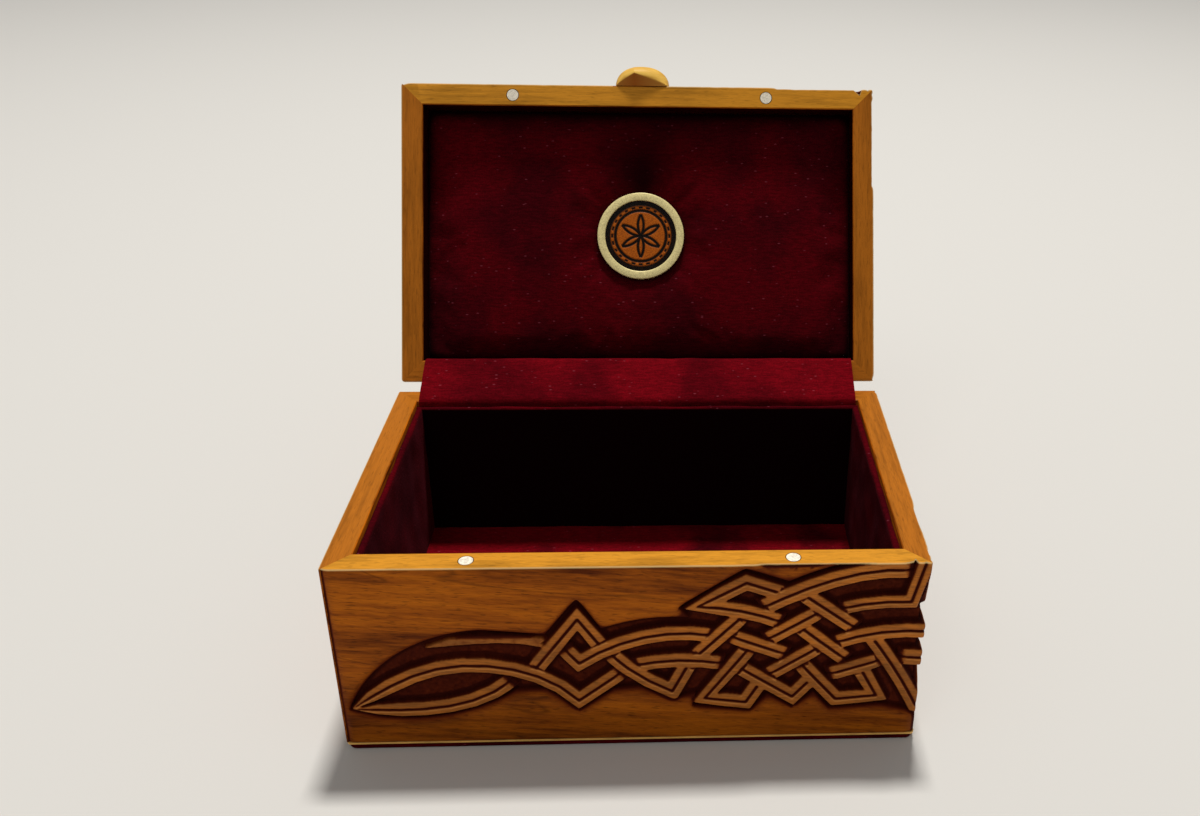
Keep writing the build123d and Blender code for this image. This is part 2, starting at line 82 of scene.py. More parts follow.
hinge_point = Vector(lid_joint["pos_m"])
opening = math.radians(lid_joint["range_deg"][1])
about_hinge = Matrix.Translation(hinge_point)
open_lid = about_hinge @ Matrix.Rotation(-opening, 4, "X") @ about_hinge.inverted()
shut_lid = open_lid.inverted()


def shut_points(node):
    """The points of a lid node as they lie in the shut lid."""
    return [shut_lid @ v.co for v in frame["nodes"][node].data.vertices]


def shut_box(node):
    """Lowest and highest corner of a lid node as it lies in the shut lid."""
    points = np.array(shut_points(node))
    return Vector(points.min(0)), Vector(points.max(0))


panel_low, panel_high = shut_box("lid_top_panel")
rail_low, rail_high = shut_box("lid_left_rail")
lid_z, panel_z, lid_top_z = rail_low.z, panel_low.z, rail_high.z
rabbet = panel_high.x - inner_x
# The rear wall ends where the rounded corner crosses the mitre, which gives the corner's radius
corner = (side_x - rear_high.x) / (1 - math.sqrt(0.5))
lid_edge_z = max(p.z for p in shut_points("lid_rear_rail") if abs(p.y - rear_y) < NEAR)
dome_rise = lid_top_z - lid_edge_z
dome_radius = (rear_y ** 2 + dome_rise ** 2) / (2 * dome_rise)


# Small helpers

def hex_colour(text):
    """sRGB hex to a linear colour with alpha."""
    channels = [int(text[i:i + 2], 16) / 255 for i in (1, 3, 5)]
    linear = [c / 12.92 if c <= 0.04045 else ((c + 0.055) / 1.055) ** 2.4 for c in channels]
    return (*linear, 1.0)


def deselect():
    if bpy.context.mode != "OBJECT":
        bpy.ops.object.mode_set(mode="OBJECT")
    bpy.ops.object.select_all(action="DESELECT")


def select(piece):
    deselect()
    piece.select_set(True)
    bpy.context.view_layer.objects.active = piece


def add_modifier(piece, kind, **settings):
    """Adds a modifier and applies it."""
    select(piece)
    made = piece.modifiers.new(kind.title(), kind)
    for key, value in settings.items():
        setattr(made, key, value)
    bpy.ops.object.modifier_apply(modifier=made.name)


def smooth(piece, degrees=40):
    select(piece)
    bpy.ops.object.shade_smooth_by_angle(angle=math.radians(degrees))


def dress(piece, material):
    piece.data.materials.clear()
    piece.data.materials.append(material)


def settle(piece, body, material, node):
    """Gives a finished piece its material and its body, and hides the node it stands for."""
    dress(piece, material)
    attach(piece, body)
    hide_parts(node)


def store(piece, name, values):
    """Keeps one value for each point, for the piece's material to read."""
    layer = piece.data.attributes.new(name, "FLOAT", "POINT")
    layer.data.foreach_set("value", np.asarray(values, np.float32))


def coordinates(piece):
    """The x, y and z of a piece's points, as three arrays."""
    places = np.zeros(len(piece.data.vertices) * 3)
    piece.data.vertices.foreach_get("co", places)
    return places.reshape(-1, 3).T


def new_piece(name, points, faces):
    mesh = bpy.data.meshes.new(name)
    mesh.from_pydata([tuple(p) for p in points], [], faces)
    mesh.update()
    piece = bpy.data.objects.new(name, mesh)
    bpy.context.scene.collection.objects.link(piece)
    return piece


def outwards(piece):
    """Merges a closed shell's doubled points and turns its faces outwards."""
    mesh = bmesh.new()
    mesh.from_mesh(piece.data)
    bmesh.ops.remove_doubles(mesh, verts=mesh.verts, dist=0.002 * MM)
    bmesh.ops.recalc_face_normals(mesh, faces=mesh.faces)
    mesh.to_mesh(piece.data)
    mesh.free()


def grid_faces(rows, columns):
    """Quads between neighbouring rows of points."""
    faces = []
    for a in range(0, (rows - 1) * columns, columns):
        b = a + columns
        faces += [(a + c, a + c + 1, b + c + 1, b + c) for c in range(columns - 1)]
    return faces


def slab(name, front, back):
    """A closed sheet between two grids of points of one size."""
    rows, columns = front.shape[:2]
    points = np.concatenate([front.reshape(-1, 3), back.reshape(-1, 3)])
    count = rows * columns
    faces = grid_faces(rows, columns)
    faces += [tuple(count + i for i in reversed(face)) for face in grid_faces(rows, columns)]
    edge = list(range(columns))
    edge += [r * columns + columns - 1 for r in range(1, rows)]
    edge += [(rows - 1) * columns + c for c in range(columns - 2, -1, -1)]
    edge += [r * columns for r in range(rows - 2, 0, -1)]
    for one, two in zip(edge, edge[1:] + edge[:1]):
        faces.append((two, one, count + one, count + two))
    piece = new_piece(name, points, faces)
    outwards(piece)
    return piece


# Materials

def add_node(tree, kind, links=None, stops=None, **settings):
    """Adds a node with its settings, its values and links by socket, and its ramp stops."""
    made = tree.nodes.new("ShaderNode" + kind)
    for key, value in settings.items():
        setattr(made, key, value)
    for socket, value in (links or {}).items():
        if isinstance(value, bpy.types.NodeSocket):
            tree.links.new(value, made.inputs[socket])
        else:
            made.inputs[socket].default_value = value
    if stops:
        while len(made.color_ramp.elements) < len(stops):
            made.color_ramp.elements.new(0.5)
        for element, (place, colour) in zip(made.color_ramp.elements, stops):
            element.position = place
            element.color = colour
    return made


def new_material(name):
    made = bpy.data.materials.new(name)
    made.use_nodes = True
    made.node_tree.nodes.clear()
    return made, made.node_tree


def finish_material(made, sockets):
    """Closes a material's tree with its surface and gives the material back."""
    surface = add_node(made.node_tree, "BsdfPrincipled", sockets)
    add_node(made.node_tree, "OutputMaterial", {"Surface": surface.outputs["BSDF"]})
    return made


def grey(value):
    return (value, value, value, 1.0)


def darker(colour, share):
    return (*(share * c for c in colour[:3]), 1.0)


def board_space(tree, turn, shift, grain):
    """Object coordinates turned so that X runs along the grain, divided by a grain's real size in mm."""
    place = add_node(tree, "TexCoord").outputs["Object"]
    turned = add_node(tree, "Mapping", {"Vector": place, "Rotation": turn, "Location": shift}).outputs[0]
    scale = tuple(1000 / size for size in grain)
    return add_node(tree, "Mapping", {"Vector": turned, "Scale": scale}).outputs[0]


def walnut(name, turn=(0, 0, 0), shift=(0, 0, 0), carved=False, rim="rim_brown", low_shade=False):
    """Oiled walnut: soft dark streaks along the grain, a few growth lines, and rims polished by hands."""
    colours = bpy.context.scene.chest_colours
    made, tree = new_material(name)
    # Sizes in mm, along and across the grain. Open pores are short dark marks about 0.3 mm wide, drawn a
    # little wider so that they show
    grains = {
        "streaks": ((30, 2.4, 2.4), {"Detail": 5.0, "Roughness": 0.58, "Distortion": 0.12}),
        "figure": ((95, 17.0, 17.0), {"Detail": 2.0, "Roughness": 0.5, "Distortion": 0.5}),
        "fibres": ((7, 0.5, 0.5), {"Detail": 3.0, "Roughness": 0.6}),
        "pores": ((4.5, 0.6, 0.6), {"Detail": 1.0}),
    }
    streaks, figure, fibres, pores = (
        add_node(tree, "TexNoise", {
            "Vector": board_space(tree, turn, shift, size), "Scale": 1.0, **settings,
        }).outputs["Fac"] for size, settings in grains.values()
    )
    both = add_node(tree, "Mix", {0: 0.42, 2: streaks, 3: figure}).outputs[0]
    rim_colour = tuple(getattr(colours, rim))
    ramps = (
        (both, [(0.35, tuple(colours.walnut_dark)), (0.49, tuple(colours.walnut)),
                (0.62, tuple(colours.walnut_light))]),
        (both, [(0.34, darker(rim_colour, 0.62)), (0.52, rim_colour)]),
        (figure, [(0.475, grey(1.0)), (0.492, grey(0.62)), (0.515, grey(1.0))]),
        (fibres, [(0.32, grey(0.70)), (0.58, grey(1.0))]),
        (pores, [(0.60, grey(1.0)), (0.70, grey(0.55))]),
    )
    wood, polished, growth, fibre_shade, pore_shade = (
        add_node(tree, "ValToRGB", {"Fac": grain}, stops=stops).outputs["Color"] for grain, stops in ramps
    )
    rims = add_node(tree, "Attribute", attribute_name="rim").outputs["Fac"]
    tint = add_node(tree, "Mix", {0: rims, 6: wood, 7: polished}, data_type="RGBA").outputs[2]
    growth = add_node(tree, "Mix", {0: rims, 6: growth, 7: grey(1.0)}, data_type="RGBA").outputs[2]
    # Polished rims show less of their fibres and pores
    open_grain = add_node(tree, "Math", {0: rims, 1: -0.5, 2: 1.0}, operation="MULTIPLY_ADD").outputs[0]
    shades = [(open_grain, fibre_shade), (1.0, growth), (open_grain, pore_shade)]
    if low_shade:
        # Painted shade: darker towards the foot of the wall, full up to about 18 mm above the floor and
        # fading by 47 mm: figure adds about 25 mm
        place = add_node(tree, "TexCoord").outputs["Object"]
        height = add_node(tree, "SeparateXYZ", {"Vector": place}).outputs["Z"]
        edge = add_node(tree, "Math", {0: figure, 1: 50 * MM, 2: height}, operation="MULTIPLY_ADD")
        dark = add_node(tree, "MapRange", {
            "Value": edge.outputs[0], "From Min": 43 * MM, "From Max": 72 * MM, "To Min": 0.66, "To Max": 1.0,
        })
        shades.append((1.0, dark.outputs[0]))
    for share, shade in shades:
        tint = add_node(tree, "Mix", {0: share, 6: tint, 7: shade},
                        data_type="RGBA", blend_type="MULTIPLY").outputs[2]
    rough = 0.38
    layers = []
    if carved:
        stain = add_node(tree, "Attribute", attribute_name="stain").outputs["Fac"]
        rough = add_node(tree, "Mix", {0: stain, 2: rough, 3: 0.85}).outputs[0]
        # Rubbed wear and painted highlight share one pale tint
        rubbed = add_node(tree, "Attribute", attribute_name="rubbed").outputs["Fac"]
        rubbed_lit_tint = add_node(tree, "Mix", {0: 1.0, 6: fibre_shade, 7: tuple(colours.rubbed)},
                       data_type="RGBA", blend_type="MULTIPLY").outputs[2]
        layers.append((rubbed, rubbed_lit_tint))
        # Stain and painted shade are red where the mark is thin and nearly black where it is thick
        for colour, thin, thick in ((colours.thin_stain_and_shade, 0.0, 0.6), (colours.stain, 0.3, 1.0)):
            share = add_node(tree, "MapRange", {"Value": stain, "From Min": thin, "From Max": thick})
            layers.append((share.outputs[0], tuple(colour)))
    # Painted highlight on the worn arris and painted shade on the lid's inner sides
    for mark, colour in (("arris", colours.arris), ("inside", colours.stain)):
        layers.append((add_node(tree, "Attribute", attribute_name=mark).outputs["Fac"], tuple(colour)))
    for share, colour in layers:
        tint = add_node(tree, "Mix", {0: share, 6: tint, 7: colour}, data_type="RGBA").outputs[2]
    bump = add_node(tree, "Bump", {"Strength": 0.4, "Distance": 0.06 * MM, "Height": fibres}).outputs[0]
    return finish_material(made, {
        "Base Color": tint, "Roughness": rough, "Normal": bump, "Specular IOR Level": 0.05,
    })


def velvet(name, shift=(0, 0, 0), turn=(0, 0, 0), shades=("velvet_deep", "velvet")):
    """Burgundy cotton velvet: fine rows of short pile, with painted shade where it is marked, and a few light
    threads.
    """
    colours = bpy.context.scene.chest_colours
    made, tree = new_material(name)
    space = board_space(tree, turn, shift, (1, 1, 1))
    brushed = add_node(tree, "TexNoise", {"Vector": space, "Scale": 0.03, "Detail": 2.0, "Roughness": 0.5})
    # The real rows lie 0.65 mm apart; here they are a little coarser, so that they show from the camera
    rows = add_node(tree, "TexNoise", {
        "Vector": board_space(tree, turn, shift, (4, 0.9, 0.9)), "Scale": 1.0, "Detail": 2.0,
        "Roughness": 0.6,
    })
    pile = add_node(tree, "TexNoise", {"Vector": space, "Scale": 1.5, "Detail": 3.0, "Roughness": 0.7})
    threads = add_node(tree, "TexVoronoi", {
        "Vector": board_space(tree, turn, shift, (6.0, 2.6, 2.6)), "Scale": 1.0, "Randomness": 1.0,
    })
    dark, light = (tuple(getattr(colours, shade)) for shade in shades)
    tint = add_node(tree, "ValToRGB", {"Fac": brushed.outputs["Fac"]}, stops=[
        (0.38, dark), (0.56, light),
    ]).outputs["Color"]
    for grain, low, high in ((rows, 0.72, 1.15), (pile, 0.7, 1.15)):
        shade = add_node(tree, "ValToRGB", {"Fac": grain.outputs["Fac"]}, stops=[
            (0.35, grey(low)), (0.65, grey(high)),
        ]).outputs["Color"]
        tint = add_node(tree, "Mix", {0: 1.0, 6: tint, 7: shade},
                        data_type="RGBA", blend_type="MULTIPLY").outputs[2]
    dot = add_node(tree, "ValToRGB", {"Fac": threads.outputs["Distance"]}, stops=[
        (0.04, grey(0.28)), (0.13, grey(0.0)),
    ]).outputs["Color"]
    # Painted shade on the pile, where a piece marks it
    pressed = add_node(tree, "Attribute", attribute_name="pressed").outputs["Fac"]
    for share, colour in ((dot, colours.velvet_light), (pressed, colours.velvet_pressed)):
        tint = add_node(tree, "Mix", {0: share, 6: tint, 7: tuple(colour)}, data_type="RGBA").outputs[2]
    bump = add_node(tree, "Bump", {
        "Strength": 0.5, "Distance": 0.2 * MM, "Height": rows.outputs["Fac"],
    }).outputs[0]
    return finish_material(made, {
        "Base Color": tint, "Roughness": 0.95, "Specular IOR Level": 0.03, "Normal": bump,
        "Sheen Weight": 0.07, "Sheen Roughness": 0.35, "Sheen Tint": tuple(colours.velvet_light),
    })


def metal(name, colour, roughness, grit, strength, metallic=1.0):
    """Worked metal: a plain colour with fine scratches or grain of the given size in mm."""
    made, tree = new_material(name)
    space = board_space(tree, (0, 0, 0), (0, 0, 0), grit)
    grain = add_node(tree, "TexNoise", {
        "Vector": space, "Scale": 1.0, "Detail": 3.0, "Roughness": 0.6,
    }).outputs["Fac"]
    shade = add_node(tree, "ValToRGB", {"Fac": grain}, stops=[
        (0.35, darker(colour, 0.72)), (0.60, tuple(colour)),
    ]).outputs["Color"]
    rough = add_node(tree, "MapRange", {
        "Value": grain, "From Min": 0.3, "From Max": 0.7,
        "To Min": roughness * 0.8, "To Max": roughness * 1.25,
    }).outputs[0]
    bump = add_node(tree, "Bump", {"Strength": strength, "Distance": 0.05 * MM, "Height": grain}).outputs[0]
    return finish_material(made, {
        "Base Color": shade, "Metallic": metallic, "Roughness": rough, "Normal": bump,
    })


def boxwood(name):
    """Polished boxwood: pale, close-grained and waxed."""
    colours = bpy.context.scene.chest_colours
    made, tree = new_material(name)
    rings = add_node(tree, "TexNoise", {
        "Vector": board_space(tree, (0.5, 0, 0), (0, 0, 0), (26, 2.2, 2.2)), "Scale": 1.0, "Detail": 4.0,
        "Roughness": 0.5,
    }).outputs["Fac"]
    tint = add_node(tree, "ValToRGB", {"Fac": rings}, stops=[
        (0.35, tuple(colours.boxwood_dark)), (0.60, tuple(colours.boxwood)),
    ]).outputs["Color"]
    # Painted shade: the underside of the pull is darker, as it faces away from the light
    under = add_node(tree, "Attribute", attribute_name="under").outputs["Fac"]
    tint = add_node(tree, "Mix", {0: under, 6: tint, 7: tuple(colours.boxwood_shaded)},
                    data_type="RGBA").outputs[2]
    bump = add_node(tree, "Bump", {"Strength": 0.15, "Distance": 0.05 * MM, "Height": rings}).outputs[0]
    return finish_material(made, {
        "Base Color": tint, "Roughness": 0.36, "Normal": bump, "Specular IOR Level": 0.15,
    })


def burnt_wood(name):
    """Orange-stained wood with lines burnt black and glossy."""
    colours = bpy.context.scene.chest_colours
    made, tree = new_material(name)
    space = board_space(tree, (0, 0, 0), (0, 0, 0), (1, 1, 1))
    grain = add_node(tree, "TexNoise", {
        "Vector": space, "Scale": 2.2, "Detail": 4.0, "Roughness": 0.7,
    }).outputs["Fac"]
    wood = add_node(tree, "ValToRGB", {"Fac": grain}, stops=[
        (0.30, tuple(colours.badge_dark)), (0.62, tuple(colours.badge_wood)),
    ]).outputs["Color"]
    char = add_node(tree, "ValToRGB", {"Fac": grain}, stops=[
        (0.50, tuple(colours.char)), (0.78, tuple(colours.char_brown)),
    ]).outputs["Color"]
    burn = add_node(tree, "Attribute", attribute_name="burn").outputs["Fac"]
    tint = add_node(tree, "Mix", {0: burn, 6: wood, 7: char}, data_type="RGBA").outputs[2]
    rough = add_node(tree, "Mix", {0: burn, 2: 0.6, 3: 0.26}).outputs[0]
    bump = add_node(tree, "Bump", {"Strength": 0.7, "Distance": 0.15 * MM, "Height": grain}).outputs[0]
    return finish_material(made, {
        "Base Color": tint, "Roughness": rough, "Normal": bump, "Specular IOR Level": 0.12,
    })


def floor_paper(name):
    """Pale matt paper with a faint tooth."""
    made, tree = new_material(name)
    space = board_space(tree, (0, 0, 0), (0, 0, 0), (1, 1, 1))
    tooth = add_node(tree, "TexNoise", {"Vector": space, "Scale": 0.8, "Detail": 2.0}).outputs["Fac"]
    bump = add_node(tree, "Bump", {"Strength": 0.05, "Distance": 0.1 * MM, "Height": tooth}).outputs[0]
    return finish_material(made, {
        "Base Color": tuple(bpy.context.scene.chest_colours.floor), "Roughness": 0.85,
        "Specular IOR Level": 0.2, "Normal": bump,
    })


# Carved and plain boards

# A board: half its length, its underside, top and rim as heights, and the spacing of its face's points
Board = namedtuple("Board", "name node side in_lid half foot_z head_z rim_z step")
# A carving: places along and up the board, and its depth, its stain with painted shade and its wear with
# painted highlight at each
Carving = namedtuple("Carving", "across up depth stain rubbed")

# Depths under a board's face by which the parts of the CAD's carving are told apart
FACE = 0.15 * MM
STRAP_TOP = (0.2 * MM, 0.5 * MM)
STRAP_GROOVE = (0.42 * MM, 1.2 * MM)
LOW_BAND = (0.95 * MM, 2.0 * MM)
RAISED = 1.1 * MM
RIM_HOLLOW = 1.4 * MM
GROUND = 1.5 * MM
DEEPEST = 4 * MM

# The low band above the leaf on the front wall: its right end, its heights and its depth
BAND_END = -28 * MM
BAND_HEIGHTS = (40 * MM, 49.5 * MM)
BAND_DEPTH = 1.0 * MM

# What is finer than the CAD, as depths and widths: banks beside the ground, the ground's run-out at the
# rim, rounded straps, marks of the gouge and dents of the punch
BANK_DEPTH, BANK_LIMIT, BANK_WIDTH = 1.5 * MM, 1.2 * MM, 1.7 * MM
RIM_CUT, RIM_SLOPE, CROSSING_WIDTH = 0.35 * MM, 1.1, 9 * MM
STRAP_DROP, STRAP_EDGE = 0.55 * MM, 0.8 * MM
GOUGE_DEPTH, GOUGE_WIDTH = 0.10 * MM, 1.1 * MM
PUNCH_DEPTH, PUNCH_WIDTH = 0.40 * MM, 0.34 * MM

# Points and faces of the boards
QUARTER_TURN = np.radians([0, 30, 60, 90])
HALF_MITRE = np.radians([0, 15, 30, 45])
PLAIN_COLUMNS, PLAIN_ROWS = 60, 10
MOST_TRIANGLES = 185000
HOLE_SIDES, HOLE_ROOM = 40, 0.3 * MM


def softened(field, cells):
    """A height field blurred by a bell curve of the given width in cells."""
    reach = max(1, int(3 * cells + 0.5))
    weights = np.exp(-0.5 * (np.arange(-reach, reach + 1) / cells) ** 2)
    weights /= weights.sum()
    for axis in (0, 1):
        pads = [(reach, reach) if a == axis else (0, 0) for a in (0, 1)]
        wide = np.pad(field, pads, mode="symmetric")
        count = field.shape[axis]
        field = sum(w * np.take(wide, range(i, i + count), axis=axis) for i, w in enumerate(weights))
    return field


def grade(values, start, run):
    """Rises from 0 at start to 1 after a run."""
    return np.clip((values - start) / run, 0, 1)


def between(field, limits):
    return (field > limits[0]) & (field < limits[1])


def sampled(field, cut, us, zs):
    """Values of a field of the carving between its cells."""
    i = np.clip((zs - cut.up[0]) / (cut.up[1] - cut.up[0]), 0, len(cut.up) - 1.001)
    j = np.clip((us - cut.across[0]) / (cut.across[1] - cut.across[0]), 0, len(cut.across) - 1.001)
    i0, j0 = i.astype(int), j.astype(int)
    a, b = i - i0, j - j0
    return ((field[i0, j0] * (1 - b) + field[i0, j0 + 1] * b) * (1 - a)
            + (field[i0 + 1, j0] * (1 - b) + field[i0 + 1, j0 + 1] * b) * a)


def side_place(side, u, depth, z):
    """The point of a board's outer side, u along it and depth behind its face."""
    return {
        "front": (u, front_y + depth, z),
        "rear": (u, rear_y - depth, z),
        "left": (depth - side_x, u, z),
        "right": (side_x - depth, u, z),
    }[side]


def dome_top(place):
    return lid_top_z - dome_radius + math.sqrt(dome_radius ** 2 - place[1] ** 2)


def carved_depth(board):
    """How deep the carving lies behind a board's outer face, felt with rays from outside."""
    source = frame["nodes"][board.node].data
    turn = shut_lid if board.in_lid else Matrix.Identity(4)
    points = [turn @ v.co for v in source.vertices]
    tree = BVHTree.FromPolygons(points, [tuple(p.vertices) for p in source.polygons])
    across = np.arange(-board.half + board.step / 2, board.half, board.step)
    up = np.arange(board.foot_z + board.step / 2, board.head_z, board.step)
    inward = Vector(side_place(board.side, 0, 1, 0)) - Vector(side_place(board.side, 0, 0, 0))
    outside, reach = 2 * MM, 20 * MM
    field = np.full((len(up), len(across)), np.nan)
    for i, z in enumerate(up):
        for j, u in enumerate(across):
            hit = tree.ray_cast(Vector(side_place(board.side, u, -outside, z)), inward, reach)[3]
            if hit is not None:
                field[i, j] = hit - outside
    field[field > DEEPEST] = 0.0
    # Where a ray misses, past a rounded end, the depth of the cell nearer to the middle holds
    middle = len(across) // 2
    for columns, nearer in ((range(middle, len(across)), -1), (range(middle, -1, -1), 1)):
        for j in columns:
            field[:, j] = np.where(np.isnan(field[:, j]), field[:, j + nearer], field[:, j])
    return np.nan_to_num(field), across, up


def carving(board):
    """The carved field of a board: its depth, with banks and tool marks, and where stain with painted shade
    and wear with painted highlight lie.
    """
    def soft(field, size, least=0.0):
        return softened(field, max(size / board.step, least))

    def moved_down(field, size):
        return np.roll(field, -max(1, round(size / board.step)), axis=0)

    field, across, up = carved_depth(board)
    hollow = np.abs(field - RIM_HOLLOW) < 0.03 * MM
    plain = (field < FACE) | hollow
    by_ground = np.clip(2 * soft(1.0 - plain, BANK_WIDTH), 0, 1)
    bank = soft(RIM_HOLLOW * hollow, 1.6 * MM) + BANK_DEPTH * by_ground ** 1.5
    depth = np.where(plain, np.minimum(bank, BANK_LIMIT), field)
    # Towards the rim the ground runs out, except at the corner, where the straps cross it
    from_rim = (up - board.foot_z if board.in_lid else board.head_z - up)[:, None]
    run_out = RIM_CUT + RIM_SLOPE * np.maximum(from_rim, 0)
    if board.side == "front":
        run_out = run_out + np.maximum(0, CROSSING_WIDTH - (board.half - across))[None, :]
    depth = np.minimum(depth, run_out)
    # Above the leaf lies a low band with no groove, rubbed pale
    band = np.zeros(field.shape, bool)
    if board.side == "front" and not board.in_lid:
        here = (across < BAND_END)[None, :] & between(up, BAND_HEIGHTS)[:, None]
        band = here & between(field, LOW_BAND)
        depth = np.where(band, BAND_DEPTH, depth)
    # Each half of a strap is rounded between its groove and its edge
    top = between(field, STRAP_TOP)
    depth += STRAP_DROP * (1 - soft(1.0 * top, STRAP_EDGE)) * top
    depth = soft(depth, 0.18 * MM, 0.75)

    draws = np.random.default_rng(len(board.name) + 7)
    gouge = soft(draws.standard_normal(field.shape), GOUGE_WIDTH)
    punch = soft(draws.standard_normal(field.shape), PUNCH_WIDTH, 0.8)
    gouge /= np.abs(gouge).max()
    punch /= np.abs(punch).max()

    # Painted shade: the ground's stain is darkest just below a raised edge, out of the light from above, and
    # shows brown above the next strap
    ground = grade(depth, GROUND, 0.8 * MM) * ~plain
    foot = grade(depth - soft(depth, 1.6 * MM), 0, 0.9 * MM)
    raised = (depth < RAISED).astype(float)
    shaded_below_edge = np.clip(1.8 * soft(moved_down(raised, 1.3 * MM), 0.9 * MM), 0, 1)
    ground_stain_and_shade = ground * (0.70 + 0.30 * shaded_below_edge - 0.12 * foot + 0.3 * punch)
    # Stain, with painted shade, also lies on the straps' flanks, in every cut and on the plain wood beside
    # the ground
    flank = grade(depth, 0.62 * MM, 0.38 * MM) * ~plain
    cut = grade(depth - soft(depth, 0.8 * MM), 0, 0.16 * MM)
    cut = np.clip(1.9 * soft(cut, 0.3 * MM), 0, 1)
    halo = by_ground ** 1.3 * plain
    stain = np.maximum.reduce([ground_stain_and_shade, 0.92 * flank * (1 - 0.8 * ground), 0.9 * cut, 0.75 * halo])
    pale = soft(1.0 * band, 0.6 * MM)
    stain = stain * (1 - 0.85 * np.clip(1.3 * pale, 0, 1)) + 0.25 * pale * (punch > 0.1)
    stain = np.clip(soft(stain, 0.15 * MM, 0.5), 0, 1)
    # The groove along each strap is dark with stain and painted shade, and its lower lip, which faces up,
    # gets a painted highlight
    on_strap = soft(1.0 * top, MM) > 0.52
    groove = between(field, STRAP_GROOVE) & on_strap & ~band
    stain = np.clip(np.maximum(stain, soft(1.0 * groove, 0.22 * MM)), 0, 1)
    lit_lip = moved_down(groove, 0.75 * MM) & top

    # What stands higher than the wood round it is rubbed pale, and so are the straps and the low band; on
    # raised edges and strap tops this pale is also a painted highlight
    edges = grade(soft(depth, 0.5 * MM) - depth, 0, 0.26 * MM)
    edges = edges * np.clip(soft(1.0 - plain, MM) - 0.3, 0, 0.5)
    rubbed = np.maximum.reduce([edges, 0.55 * pale, 0.34 * top, 1.9 * soft(1.0 * lit_lip, 0.2 * MM)])
    depth = np.maximum(depth + GOUGE_DEPTH * gouge + PUNCH_DEPTH * ground * punch, 0)
    return Carving(across, up, depth, stain, np.clip(rubbed, 0, 1))


def face_lines(board, carved, r):
    """Places along and up a board's outer face, and how far its rounded ends and edges fall back there."""
    ends = board.half - corner + corner * np.sin(HALF_MITRE)
    if carved:
        middle = np.arange(-board.half + corner, board.half - corner, board.step)[1:]
    else:
        middle = np.linspace(-board.half + corner, board.half - corner, PLAIN_COLUMNS)[1:-1]
    us = np.concatenate([-ends[::-1], middle, ends])
    fall = corner * (1 - np.cos(HALF_MITRE))
    back_u = np.concatenate([fall[::-1], 0 * middle, fall])
    height = board.head_z - board.foot_z
    low = r * (1 - np.sin(QUARTER_TURN))
    count = max(3, int(height / board.step)) if carved else PLAIN_ROWS
    body = np.linspace(r, height - r, count)[1:-1]
    rows = np.concatenate([low[::-1], body, height - low])
    fall = r - r * np.cos(QUARTER_TURN)
    back_z = np.concatenate([fall[::-1], 0 * body, fall])
    return us, back_u, rows / height, back_z


def inner_outline(board, r):
    """Depth and height of the inner side's lines, from its lowest edge up; a height of None is the dome."""
    if board.in_lid:
        lines = [(wall - r + r * math.sin(a), board.foot_z + r - r * math.cos(a)) for a in QUARTER_TURN]
        lines += [(wall, panel_z), (wall - rabbet, panel_z), (wall - rabbet, None)]
    else:
        lines = [(wall, board.foot_z), (wall, board_low.z), (wall - groove_depth, board_low.z),
                 (wall - groove_depth, board_high.z), (wall, board_high.z)]
        lines += [(wall - r + r * math.cos(a), board.head_z - r + r * math.sin(a)) for a in QUARTER_TURN]
    return lines


